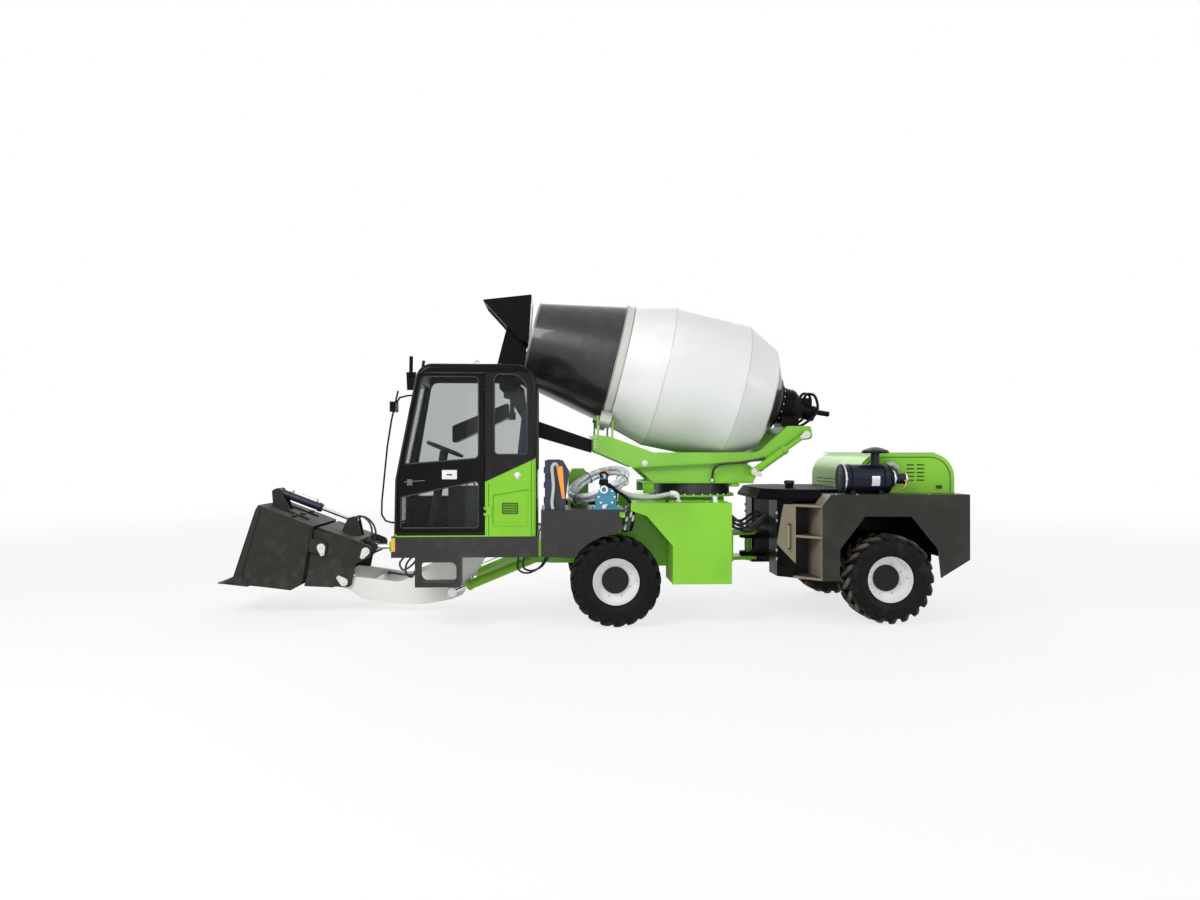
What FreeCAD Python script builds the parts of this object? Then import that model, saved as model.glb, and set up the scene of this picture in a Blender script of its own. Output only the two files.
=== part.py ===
"""Self-loading concrete mixer, articulated at its waist, with a slewing drum.

Lengths are millimetres.  The front (bucket end) points along -X, the left side (cab) along -Y and
+Z is up.  The origin is on the ground, under the middle of the machine.  Every function builds one
sub-part where it stands on the machine; the last section writes them all out.
"""
import FreeCAD
import Part
import os
from math import asin, cos, degrees, pi, radians, sin, sqrt, tan

V = FreeCAD.Vector
Y_AXIS = V(0, 1, 0)
Z_AXIS = V(0, 0, 1)

# ---------------------------------------------------------------- driving dimensions
HALF_WIDTH = 1150.0            # outer faces of tyres and body sides
PLATE = 20.0                   # structural plate
SHEET = 8.0                    # body sheet
PIN_GAP = 0.08                 # radial gap of a pin in its hole
RUN_GAP = 0.5                  # gap at faces that turn or slide on each other

# wheels and axles
TYRE_RADIUS = 465.0
TYRE_WIDTH = 390.0
TYRE_SIDES = 24                # flats round the tyre's body
TREAD_RADIUS = 436.0           # tyre between its lugs
LUG_COUNT = 15                 # lugs in each of the two rows
LUG_WIDTH = 48.0
LUG_SLANT = 130.0              # how far a lug runs round the tyre from its inner to its outer end
RIM_RADIUS = 250.0
RIM_WIDTH = 300.0
RIM_WALL = 12.0
WHEEL_DISC_OFFSET = 10.0       # inner face of the wheel disc, outward of the wheel's middle plane
WHEEL_DISC = 15.0
HUB_RADIUS = 140.0
HUB_HEIGHT = 22.0
FRONT_AXLE_X = 350.0
WHEELBASE = 2840.0
AXLE_TUBE_RADIUS = 75.0
DIFFERENTIAL_RADIUS = 170.0

# front frame
FRAME_HALF = 300.0
FRAME_BOTTOM = 560.0
FRAME_TOP = 900.0
FRAME_FRONT = -330.0
FRAME_REAR = 1720.0
REAR_PLATE_X = 1550.0
REAR_PLATE_HALF = 560.0
REAR_PLATE_BOTTOM = 440.0
REAR_PLATE_TOP = 1240.0
WAIST_X = 1950.0
WAIST_PIN_RADIUS = 35.0
WAIST_EAR = 40.0
WAIST_EAR_HALF = 170.0
WAIST_LOW = 600.0              # underside of the lower rear-frame ear
WAIST_HIGH = 840.0             # top of the upper rear-frame ear

# decks, fenders and water tanks
DECK_TOP = 1200.0
DECK_FRONT = -411.0
DECK_REAR = 426.0
DECK_INNER = 330.0
WHEEL_ARCH_GAP = 20.0
COIL_RADIUS = 300.0
COIL_HALF = 60.0
COIL_MIDDLE = (190.0, -635.0, 1440.0)
COIL_RISE = 23.0                 # slope of the coil's long way, upward to the rear
COIL_LEAN = 18.0                 # slope across it, upward away from the pump
RIGHT_DECK_INNER = 780.0
TANK_FRONT = 497.0
TANK_REAR = 1528.0
TANK_TOP = 1266.0
TANK_BOTTOM = 441.0
TANK_INNER = 590.0

# cab
CAB_FRONT = -1882.0
CAB_REAR = -451.0
CAB_INNER = -320.0             # right-hand face of the cab
CAB_FLOOR = 937.0
CAB_BASE_BOTTOM = 728.0
CAB_ROOF = 2675.0
CAB_WAIST = 1505.0             # height where the front starts to lean back
CAB_ROOF_FRONT = -1640.0
CAB_WALL = 50.0
CAB_EDGE = 60.0                # rounding of the long edges
ROOF_SPLIT = 2585.0
DOOR_HINGE_X = -978.0
DOOR_BOTTOM = 957.0
DOOR_GAP = 8.0
A_PILLAR = 40.0
GLASS = 6.0
HINGE_X = DOOR_HINGE_X + DOOR_GAP / 2
HINGE_HEIGHTS = (1190.0, 1810.0, 2440.0)
HINGE_PIN = 8.0
HINGE_KNUCKLE = 14.0
HINGE_HALF = 45.0              # half the height of a hinge
HINGE_MIDDLE = 15.0            # half the height of the door's own knuckle
GRILLE_SLOTS = 5
MIRROR_INSET = 72.0            # mirror rod and far bracket, inwards from the cab's sides
MIRROR_RADIUS = 9.0
MIRROR_ROD = ((-1690, 2356), (-1752, 2350), (-1827, 2332), (-1875, 2255), (-1910, 2108), (-1953, 1830),
              (-1980, 1551), (-2005, 1298), (-2008, 1158), (-1970, 1095), (-1915, 1077), (-1860, 1074))

# boom and bucket
BOOM_PIVOT = (-750.0, 1150.0)
BOOM_MIDDLE = 300.0            # middle plane of boom and bucket
ARM_OUTER = 440.0              # from the middle plane
ARM_THICK = 60.0
BUCKET_PIN = (-2605.0, 345.0)
TILT_PIN = (-2367.0, 682.0)
TILT_BASE = (-1180.0, 700.0)
LIFT_LUG = (-1409.0, 228.0)
LIFT_BASE = (-450.0, 620.0)
SHELL_PIN = (-2845.0, 731.0)
GATE_LUG = (-3455.0, 1326.0)
GATE_LEVER = (-2594.0, 990.0)
BUCKET_HALF = 500.0
SHELL_SIDE = 25.0
CARRIER_HALF = BUCKET_HALF - SHELL_SIDE - 5
PIN_RADIUS = 30.0
LIFT_PIN_RADIUS = 32.0
LIFT_BARREL = 52.0
LIFT_OFFSET = ARM_OUTER + 55   # lift cylinders run outside the arms
LIFT_CLOSING = 40.0             # travel each rod can close by from rest
TILT_CLOSING = 110.0
GATE_CLOSING = 350.0
LUG_GAP_HALF = 62.0             # inner faces of the lugs around a single cylinder

# drum turret
SLEW_X = 1296.0
SLEW_RADIUS = 430.0
FLANGE_BOTTOM = 1290.0
SLEW_FACE = 1370.0             # face between the fixed and the turning ring
TURNTABLE_BOTTOM = 1440.0
TURNTABLE_HALF = 440.0
CRADLE_PIVOT = (705.0, 1661.0)
CRADLE_LIFT_LOW = (1900.0, 1570.0)
CRADLE_LIFT_HIGH = (2471.0, 1975.0)
CRADLE_BEAM = 60.0
DRUM_MOUTH = (-539.0, 3018.5)
DRUM_TILT = radians(13.66)
DRUM_WALL = 10.0
DRUM_MOUTH_RADIUS = 478.0
DRUM_RING_STATION = 1000.0
DRUM_RING_RADIUS = 711.0
DRUM_RING_WIDTH = 70.0
DRUM_CONE_RADIUS = 690.0
DRUM_BELLY = ((1490.0, 825.0), (2350.0, 792.0), (2720.0, 609.0))
DRUM_END = 2886.0
DRUM_END_RADIUS = 300.0
ROLLER_RADIUS = 90.0
ROLLER_LENGTH = 120.0
ROLLER_Y = 450.0
CHUTE_X = -760.0
CHUTE_Y = 40.0

# rear frame
REAR_FRAME_HALF = 420.0
REAR_FRAME_BOTTOM = 560.0
REAR_FRAME_TOP = 900.0
REAR_FRAME_FRONT = 2110.0
BODY_REAR = 4010.0
BODY_TOP = 1345.0
BODY_BOTTOM = 461.0
BODY_FRONT = 2463.0
BODY_SLOPE = 2551.0            # where the sloped front edge of the body side reaches its top
DECK_HALF = 740.0              # inner edge of the side decks
CORNER_TOP = 1232.0            # top of the front corner with the steps
NOSE_X = 2150.0
NOSE_HALF = 830.0
STEP_X = 2232.0                # front edge of the step opening
STEP_BACK = 640.0              # back wall of the step opening
STEP_HEIGHTS = (461.0, 890.0, 1212.0)
STEP_THICK = 25.0
TANK_NOSE = 2095.0             # front face of the tanks at the nose
NOSE_TOP = 1385.0
NOSE_BOX_HALF = 880.0
HOOD_FRONT = 2950.0
HOOD_TOP = 1775.0
HOOD_HALF = 800.0
HOOD_ROUND = 270.0
HOOD_WALL = 15.0
LOUVRE_COLUMNS = (3488.0, 3598.0)
LOUVRE_LOW = 1475.0
LOUVRE_ROWS = 5
LOUVRE_PITCH = 41.0
LOUVRE = (82.0, 14.0)          # length and height of one slot
FILTER_Y = (HOOD_HALF + HALF_WIDTH) / 2
FILTER_RADIUS = (HALF_WIDTH - HOOD_HALF) * 0.425
JAW_LOW = 470.0
JAW_HIGH = 580.0
JAW_PLATE = 25.0
TOW_PIN_X = 3975.0
TOW_PIN_RADIUS = 16.0

REAR_AXLE_X = FRONT_AXLE_X + WHEELBASE
WHEEL_Y = HALF_WIDTH - TYRE_WIDTH / 2
AXLE_Z = TYRE_RADIUS


# ---------------------------------------------------------------- shape helpers
def box(x0, x1, y0, y1, z0, z1):
    return Part.makeBox(x1 - x0, y1 - y0, z1 - z0, V(x0, y0, z0))


def on_side(a, b):
    """Place an outline in the X-Z plane."""
    return V(a, 0, b)


def on_floor(a, b):
    """Place an outline in the X-Y plane."""
    return V(a, b, 0)


def outline(corners, place):
    """Closed face through corners (a, b) or (a, b, radius), rounded where a radius is given."""
    count = len(corners)
    ends = []
    arcs = []
    for i, corner in enumerate(corners):
        here = V(corner[0], corner[1], 0)
        before = corners[i - 1]
        after = corners[(i + 1) % count]
        to_before = (V(before[0], before[1], 0) - here).normalize()
        to_after = (V(after[0], after[1], 0) - here).normalize()
        radius = corner[2] if len(corner) > 2 else 0
        half = to_before.getAngle(to_after) / 2
        if radius == 0 or half > radians(89):
            ends.append((here, here))
            arcs.append(None)
            continue
        reach = radius / tan(half)
        middle = (to_before + to_after).normalize()
        top = here + middle * (radius / sin(half) - radius)
        ends.append((here + to_before * reach, here + to_after * reach))
        arcs.append(top)
    edges = []
    for i in range(count):
        start = ends[i][1]
        stop = ends[(i + 1) % count][0]
        if arcs[i] is not None:
            points = [place(p.x, p.y) for p in (ends[i][0], arcs[i], ends[i][1])]
            edges.append(Part.Arc(*points).toShape())
        if start.distanceToPoint(stop) > 1e-6:
            edges.append(Part.LineSegment(place(start.x, start.y), place(stop.x, stop.y)).toShape())
    return Part.Face(Part.Wire(edges))


def side_plate(corners, y0, y1):
    """Plate with an outline in X-Z, from y0 to y1."""
    face = outline(corners, on_side)
    face.translate(V(0, y0, 0))
    return face.extrude(V(0, y1 - y0, 0))


def floor_plate(corners, z0, z1):
    """Plate with an outline in X-Y, from z0 to z1."""
    face = outline(corners, on_floor)
    face.translate(V(0, 0, z0))
    return face.extrude(V(0, 0, z1 - z0))


def strip(a, b, thick, y0, y1):
    """Flat plate between two X-Z points, with its thickness to the right of the way from a to b."""
    along = V(b[0] - a[0], 0, b[1] - a[1]).normalize()
    aside = (along.z * thick, -along.x * thick)
    corners = [a, b, (b[0] + aside[0], b[1] + aside[1]), (a[0] + aside[0], a[1] + aside[1])]
    return side_plate(corners, y0, y1)


def bar(start, stop, radius):
    """Round bar between two points."""
    way = stop - start
    return Part.makeCylinder(radius, way.Length, start, way)


def cross_bar(point, radius, y0, y1):
    """Round bar along Y through an X-Z point."""
    return bar(V(point[0], y0, point[1]), V(point[0], y1, point[1]), radius)


def turned(profile, start, axis):
    """Solid of revolution: profile points are (distance along the axis, radius)."""
    points = [V(s, 0, r) for s, r in profile]
    points.append(points[0])
    solid = Part.Face(Part.makePolygon(points)).revolve(V(0, 0, 0), V(1, 0, 0), 360)
    solid.Placement = FreeCAD.Placement(start, FreeCAD.Rotation(V(1, 0, 0), axis))
    return solid


def fuse(*solids):
    """One shape from several, with flush faces joined where that leaves it sound."""
    whole = solids[0].fuse(list(solids[1:])) if len(solids) > 1 else solids[0]
    merged = whole.removeSplitter()
    return merged if merged.isValid() else whole


def mirrored(shape):
    """Copy on the other side of the machine's middle plane."""
    return shape.mirror(V(0, 0, 0), Y_AXIS)


def both_sides(shape):
    return Part.makeCompound([shape, mirrored(shape)])


def hoop(middle, axis, radius, thick):
    """Ring of nearly round section about an axis."""
    sides = 10
    profile = []
    for i in range(sides):
        angle = 2 * pi * i / sides
        profile.append((thick * sin(angle), radius + thick * cos(angle)))
    return turned(profile, middle, axis)


# ---------------------------------------------------------------- wheels and axles
def wheel_turned(profile, x, side):
    """Turn a wheel profile; distances grow outward from the wheel's middle plane."""
    return turned(profile, V(x, side * WHEEL_Y, AXLE_Z), V(0, side, 0))


def tyre_body():
    """Tyre without its lugs, centred on the origin, in flats that keep its mesh light."""
    half = TYRE_WIDTH / 2
    bead = RIM_WIDTH / 2
    bore = (RIM_RADIUS - RIM_WALL) / cos(pi / TYRE_SIDES)
    rings = [(bead, bore), (half - 12, RIM_RADIUS + 40), (half, RIM_RADIUS + 95), (half - 10, TREAD_RADIUS - 15),
             (half - 40, TREAD_RADIUS)]
    rings = [(-y, r) for y, r in rings] + list(reversed(rings))
    corners = []
    for y, radius in rings:
        turns = [2 * pi * k / TYRE_SIDES for k in range(TYRE_SIDES)]
        corners.append([V(radius * cos(turn), y, radius * sin(turn)) for turn in turns])
    faces = []
    for low, high in zip(corners, corners[1:] + corners[:1]):
        for k in range(TYRE_SIDES):
            faces.append(Part.Face(Part.makePolygon([low[k - 1], low[k], high[k], high[k - 1], low[k - 1]])))
    return Part.Solid(Part.Shell(faces))


def lugged_tyre():
    """Tyre with two rows of slanted lugs, fused to it, and turned to stand on the tip of one."""
    half = TYRE_WIDTH / 2
    reach = (LUG_SLANT + LUG_WIDTH) / 2
    top = sqrt(TYRE_RADIUS ** 2 - reach ** 2)
    first = 180 - degrees(asin(reach / TYRE_RADIUS))
    lugs = []
    for side in (-1, 1):
        corners = [(-reach, -side * 15), (-reach + LUG_WIDTH, -side * 15), (reach, side * half),
                   (reach - LUG_WIDTH, side * half)]
        lug = floor_plate(corners, TREAD_RADIUS - 45, top)
        for k in range(LUG_COUNT):
            copy = lug.copy()
            copy.rotate(V(0, 0, 0), Y_AXIS, first + (k + (side + 1) / 4) * 360 / LUG_COUNT)
            lugs.append(copy)
    return fuse(tyre_body(), *lugs)


def tyres():
    """All four tyres; the lugs of the right-hand ones are mirrored."""
    left = lugged_tyre()
    right = mirrored(left)
    copies = {}
    for end, x in (("front", FRONT_AXLE_X), ("rear", REAR_AXLE_X)):
        for name, side, shape in (("left", -1, left), ("right", 1, right)):
            copies[f"{end}_{name}_tyre"] = shape.translated(V(x, side * WHEEL_Y, AXLE_Z))
    return copies


def rim(x, side):
    bead = RIM_WIDTH / 2
    seat = RIM_RADIUS - RIM_WALL
    inner = seat - RIM_WALL
    disc = WHEEL_DISC_OFFSET
    hub = disc + WHEEL_DISC + HUB_HEIGHT
    profile = [(disc, 0), (disc, inner), (-bead, inner), (-bead - 8, seat + 8), (-bead - 8, seat),
               (-bead, seat), (bead, seat), (bead + 8, seat), (bead + 8, seat + 8 - RIM_WALL),
               (disc + WHEEL_DISC, inner), (disc + WHEEL_DISC, HUB_RADIUS), (hub, HUB_RADIUS - 6), (hub, 0)]
    return wheel_turned(profile, x, side)


def axle(x):
    """Rigid axle: hub flanges, tube and differential bulb, turned about the wheel axis."""
    face = WHEEL_Y + WHEEL_DISC_OFFSET - RUN_GAP
    tube = AXLE_TUBE_RADIUS
    bulb = DIFFERENTIAL_RADIUS
    half = [(-face, 0), (-face, 120), (-face + 60, 120), (-face + 110, tube), (-bulb - 60, tube), (-70, bulb)]
    profile = half + [(-s, r) for s, r in reversed(half)]
    housing = turned(profile, V(x, 0, AXLE_Z), Y_AXIS)
    return housing


def bulb_room(x):
    """Opening in a frame's underside for the axle's middle."""
    return box(x - 185, x + 185, -235, 235, AXLE_Z - 5, AXLE_Z + 185)


def saddles(x, half, bottom):
    """Pads that join an axle tube to the frame above it."""
    pad = box(x - 90, x + 90, half - 60, half, AXLE_Z, bottom)
    tube = bar(V(x, -half, AXLE_Z), V(x, half + 10, AXLE_Z), AXLE_TUBE_RADIUS)
    pad = pad.cut(tube)
    return [pad, mirrored(pad)]


# ---------------------------------------------------------------- front frame
TOWER_NEAR = BOOM_MIDDLE - ARM_OUTER + ARM_THICK + 10
TOWER_FAR = BOOM_MIDDLE + ARM_OUTER - ARM_THICK - 10
TOWER_PLATE = 30.0


def front_chassis():
    shell = box(FRAME_FRONT, FRAME_REAR, -FRAME_HALF, FRAME_HALF, FRAME_BOTTOM, FRAME_TOP)
    hollow = box(FRAME_FRONT + PLATE, FRAME_REAR + 1, -FRAME_HALF + PLATE, FRAME_HALF - PLATE,
                 FRAME_BOTTOM + PLATE, FRAME_TOP - PLATE)
    beam = shell.cut(hollow)
    mount_half = LIFT_OFFSET + LIFT_BARREL + 15
    front_wall = box(FRAME_FRONT - PLATE, FRAME_FRONT, BOOM_MIDDLE - mount_half, BOOM_MIDDLE + mount_half,
                     FRAME_BOTTOM, FRAME_TOP)
    rear_plate = box(REAR_PLATE_X, REAR_PLATE_X + PLATE, -REAR_PLATE_HALF, REAR_PLATE_HALF,
                     REAR_PLATE_BOTTOM, REAR_PLATE_TOP)
    end_plate = box(FRAME_REAR - PLATE, FRAME_REAR, -FRAME_HALF + PLATE, FRAME_HALF - PLATE,
                    FRAME_BOTTOM + PLATE, FRAME_TOP - PLATE)
    tower_outline = [(FRAME_FRONT - PLATE, FRAME_BOTTOM), (-530, FRAME_BOTTOM, 40), (-880, 1060, 120),
                     (-880, 1290, 110), (-640, 1290, 110), (-560, 940, 60), (FRAME_FRONT - PLATE, FRAME_TOP)]
    bore = cross_bar(BOOM_PIVOT, PIN_RADIUS * 1.5 + PIN_GAP, -400, 1000)
    near = side_plate(tower_outline, TOWER_NEAR, TOWER_NEAR + TOWER_PLATE).cut(bore)
    far = side_plate(tower_outline, TOWER_FAR - TOWER_PLATE, TOWER_FAR).cut(bore)
    tie = box(-560, -440, TOWER_NEAR + TOWER_PLATE, TOWER_FAR - TOWER_PLATE, 760, 900)
    lift_mounts = []
    for side in (-1, 1):
        inner = BOOM_MIDDLE + side * (ARM_OUTER - ARM_THICK - 10)
        outer = BOOM_MIDDLE + side * (LIFT_OFFSET + LIFT_BARREL)
        lift_mounts.append(cross_bar(LIFT_BASE, LIFT_PIN_RADIUS, min(inner, outer), max(inner, outer)))
        ys = sorted((outer, outer + side * 15))
        lift_mounts.append(side_plate([(-510, 560, 40), (-350, 560), (-350, 900), (-440, 900), (-510, 700, 30)],
                                      ys[0], ys[1]))
    outrigger = box(-440, FRAME_FRONT - PLATE, -HALF_WIDTH + PLATE, TOWER_NEAR, 740, FRAME_TOP)
    posts = []
    for x in (FRAME_FRONT, 380):
        cross = box(x, x + 60, -HALF_WIDTH + PLATE, HALF_WIDTH - PLATE, DECK_TOP - 80, DECK_TOP - PLATE)
        posts.append(cross)
        for side in (-1, 1):
            y = side * (FRAME_HALF - 60)
            posts.append(box(x, x + 60, min(y, side * FRAME_HALF), max(y, side * FRAME_HALF),
                             FRAME_TOP, DECK_TOP - 80))
    brackets = []
    for x in (1000, 1400):
        for side in (-1, 1):
            ys = sorted((side * FRAME_HALF, side * TANK_INNER))
            brackets.append(box(x, x + 80, ys[0], ys[1], 700, 780))
    ears = []
    for z in (WAIST_LOW - WAIST_EAR - RUN_GAP, WAIST_HIGH + RUN_GAP):
        ear = floor_plate([(FRAME_REAR - 150, -WAIST_EAR_HALF - 60), (FRAME_REAR - 150, WAIST_EAR_HALF + 60),
                           (WAIST_X + 100, 90, 80), (WAIST_X + 100, -90, 80)], z, z + WAIST_EAR)
        ears.append(ear)
    pin = bar(V(WAIST_X, 0, WAIST_LOW - WAIST_EAR - 20), V(WAIST_X, 0, WAIST_HIGH + WAIST_EAR + 20),
              WAIST_PIN_RADIUS)
    pads = saddles(FRONT_AXLE_X, FRAME_HALF, FRAME_BOTTOM)
    column = bar(V(SLEW_X, 0, FRAME_TOP), V(SLEW_X, 0, FLANGE_BOTTOM), SLEW_RADIUS - 60)
    beam = beam.cut(bulb_room(FRONT_AXLE_X))
    return fuse(beam, front_wall, rear_plate.cut(column), end_plate, near, far, tie, outrigger, pin,
                *lift_mounts, *posts, *brackets, *ears, *pads)


def front_fenders():
    """Decks over the front wheels; the left one carries the pump and boxes."""
    arch = TYRE_RADIUS + WHEEL_ARCH_GAP
    skirt = side_plate([(DECK_FRONT, CAB_BASE_BOTTOM), (DECK_FRONT, DECK_TOP - PLATE), (365, DECK_TOP - PLATE),
                        (DECK_REAR, 1026), (406, 996), (183, 915), (-20, 790), (-66, 715)],
                       -HALF_WIDTH, -HALF_WIDTH + PLATE)
    skirt = skirt.cut(cross_bar((FRONT_AXLE_X, AXLE_Z), arch, -HALF_WIDTH - 1, -HALF_WIDTH + PLATE + 1))
    deck = box(DECK_FRONT, 440, -HALF_WIDTH, -DECK_INNER, DECK_TOP - PLATE, DECK_TOP)
    left = fuse(skirt, deck, *coil_posts())
    right_deck = box(DECK_FRONT, 440, RIGHT_DECK_INNER, HALF_WIDTH, DECK_TOP - PLATE, DECK_TOP)
    right = fuse(mirrored(skirt), right_deck)
    return Part.makeCompound([left, right])


def water_tanks():
    side = [(TANK_FRONT, TANK_TOP), (TANK_REAR, TANK_TOP), (TANK_REAR, TANK_BOTTOM), (924, TANK_BOTTOM),
            (924, 831), (659, 1136), (TANK_FRONT, 1190)]
    tank = side_plate(side, -HALF_WIDTH, -TANK_INNER)
    caps = [bar(V(x, -1000, TANK_TOP), V(x, -1000, TANK_TOP + 30), 35) for x in (940, 1300)]
    wall = box(480, 960, -TANK_INNER - PLATE, -TANK_INNER, 560, 1190)
    return both_sides(fuse(tank, wall, *caps))


# ---------------------------------------------------------------- cab
def cab_block(inset):
    """The cab's outer form, drawn in by an inset on every face but the floor."""
    lean = (CAB_ROOF_FRONT - (CAB_FRONT + 10)) / (CAB_ROOF - CAB_WAIST)
    front = CAB_FRONT + inset
    corners = [(front, CAB_FLOOR), (front + 10, CAB_WAIST),
               (CAB_ROOF_FRONT + inset - lean * inset, CAB_ROOF - inset, 170 - inset),
               (CAB_REAR - inset, CAB_ROOF - inset, 230 - inset), (CAB_REAR - inset, CAB_FLOOR)]
    block = side_plate(corners, -HALF_WIDTH + inset, CAB_INNER - inset)
    rounding = max(CAB_EDGE - inset, 4)
    edges = []
    for edge in block.Edges:
        low = edge.BoundBox
        if low.YLength < 1 and low.ZMax > CAB_FLOOR + 1:
            edges.append(edge)
    return block.makeFillet(rounding, edges)


def door_zone(grow):
    """Region of the left side taken by the door, grown by the door gap for its opening."""
    lean = (CAB_ROOF_FRONT - (CAB_FRONT + 10)) / (CAB_ROOF - CAB_WAIST)
    front = CAB_FRONT + A_PILLAR - grow
    top = ROOF_SPLIT - 12 + grow
    corners = [(front, DOOR_BOTTOM - grow), (front + 10, CAB_WAIST),
               (front + 10 + lean * (top - CAB_WAIST), top, 60), (DOOR_HINGE_X + grow, top, 20),
               (DOOR_HINGE_X + grow, DOOR_BOTTOM - grow)]
    return side_plate(corners, -HALF_WIDTH - 5, -HALF_WIDTH + CAB_WALL)


def hinge_bar(z0, z1, radius):
    """Round bar on the door's hinge line."""
    return bar(V(HINGE_X, -HALF_WIDTH, z0), V(HINGE_X, -HALF_WIDTH, z1), radius)


def door_hinges(side, door):
    """Fit the hinges: pins and outer knuckles on the cab side, middle knuckles on the door."""
    face = -HALF_WIDTH
    for z in HINGE_HEIGHTS:
        low = z - HINGE_HALF
        high = z + HINGE_HALF
        room = hinge_bar(low - 1, high + 1, HINGE_KNUCKLE + 2)
        middle = hinge_bar(z - HINGE_MIDDLE - RUN_GAP, z + HINGE_MIDDLE + RUN_GAP, HINGE_KNUCKLE + 2)
        leaf = box(HINGE_X + 6, HINGE_X + 70, face - SHEET, face, low, high)
        outer = fuse(leaf, hinge_bar(low, high, HINGE_KNUCKLE)).cut(middle)
        side = fuse(side.cut(room), outer, hinge_bar(low, high, HINGE_PIN))
        leaf = box(HINGE_X - 52, HINGE_X, face - SHEET, face, z - HINGE_MIDDLE, z + HINGE_MIDDLE)
        knuckle = fuse(leaf, hinge_bar(z - HINGE_MIDDLE, z + HINGE_MIDDLE, HINGE_KNUCKLE))
        door = fuse(door.cut(room), knuckle.cut(hinge_bar(low, high, HINGE_PIN + PIN_GAP)))
    return side, door


def side_grille():
    """Cutter for the recess low on the cab side and the air slots in it."""
    face = -HALF_WIDTH
    cutters = [side_plate([(-894, 1034, 20), (-894, 1353, 20), (-521, 1415, 20), (-544, 1034, 20)],
                          face - 1, face + 12)]
    for k in range(GRILLE_SLOTS):
        low = 1178 + 17 * k
        cutters.append(box(-788, -655, face - 1, face + CAB_WALL + 1, low, low + 9))
    return cutters


def cab_windows():
    """Cutters for every window of the cab, by the panel they belong to."""
    left0, left1 = -HALF_WIDTH - 10, -HALF_WIDTH + CAB_WALL
    right0, right1 = CAB_INNER - CAB_WALL, CAB_INNER + 10
    door = [side_plate([(-1800, 1660, 50), (-1640, 2545, 90), (-1035, 2545, 60), (-1035, 1722, 50)], left0, left1),
            side_plate([(-1812, 1025, 30), (-1812, 1330, 30), (-1035, 1495, 30), (-1035, 1025, 30)], left0, left1)]
    left = [side_plate([(-878, 1760, 40), (-878, 2565, 60), (-550, 2565, 170), (-550, 1760, 40)], left0, left1)]
    right = [side_plate([(-1790, 1300, 60), (-1760, 1700), (-1620, 2545, 90), (-550, 2545, 150),
                         (-550, 1300, 60)], right0, right1)]
    front = [box(CAB_FRONT - 20, -1450, -HALF_WIDTH + 90, CAB_INNER - 90, 1560, 2480),
             box(CAB_FRONT - 20, -1750, -HALF_WIDTH + 90, CAB_INNER - 90, 1050, 1470)]
    rear = [box(CAB_REAR - 80, CAB_REAR + 20, -HALF_WIDTH + 110, CAB_INNER - 110, 1600, 2420)]
    door = [cutter.common(door_zone(-35)) for cutter in door]
    return {"door": door, "left": left, "right": right, "front": front, "rear": rear}


def cab_pieces():
    """Cab panels cut from one shell so that they meet face to face."""
    shell = cab_block(0).cut(cab_block(CAB_WALL))
    windows = cab_windows()
    far = 5000
    upper = box(-far, far, -far, far, ROOF_SPLIT, far)
    lower = box(-far, far, -far, far, 0, ROOF_SPLIT)
    left_band = box(-far, far, -far, -HALF_WIDTH + CAB_WALL, 0, far)
    right_band = box(-far, far, CAB_INNER - CAB_WALL, far, 0, far)
    middle_band = box(-far, far, -HALF_WIDTH + CAB_WALL, CAB_INNER - CAB_WALL, 0, far)
    front_band = box(-far, -1200, -far, far, 0, far)
    rear_band = box(-1200, far, -far, far, 0, far)
    walls = shell.common(lower)
    left = walls.common(left_band)
    pieces = {"cab_roof": shell.common(upper),
              "cab_left_side": left.cut(door_zone(DOOR_GAP)).cut(windows["left"]),
              "cab_door": left.common(door_zone(0)).cut(windows["door"]),
              "cab_right_side": walls.common(right_band).cut(windows["right"]),
              "cab_front": walls.common(middle_band).common(front_band).cut(windows["front"]),
              "cab_rear": walls.common(middle_band).common(rear_band).cut(windows["rear"])}
    pieces["cab_left_side"] = pieces["cab_left_side"].cut(side_grille())
    pieces["cab_left_side"], pieces["cab_door"] = door_hinges(pieces["cab_left_side"], pieces["cab_door"])
    middle = (CAB_WALL - GLASS) / 2
    thin = cab_block(middle).cut(cab_block(middle + GLASS)).common(lower)
    panes = []
    for name in ("left", "right", "front", "rear"):
        for cutter in windows[name]:
            panes.append(thin.common(cutter))
    pieces["cab_glass"] = Part.makeCompound(panes)
    pieces["cab_door_glass"] = Part.makeCompound([thin.common(cutter) for cutter in windows["door"]])
    return pieces


def lamps():
    """Lamps let into the front of the cab base and the rear wall, by node."""
    front = CAB_FRONT - PLATE
    corner = [box(front, front + 40, y, y + 90, 790, 925) for y in (-HALF_WIDTH, CAB_INNER - 90)]
    head = [box(front, front + 40, y, y + 130, 790, 890) for y in (-HALF_WIDTH + 120, CAB_INNER - 250)]
    rear = [box(BODY_REAR - PLATE, BODY_REAR, y, y + 140, 1170, 1250) for y in (-HALF_WIDTH + 60, HALF_WIDTH - 200)]
    return {"corner_lamps": Part.makeCompound(corner), "head_lamps": Part.makeCompound(head),
            "rear_lamps": Part.makeCompound(rear)}


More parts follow.
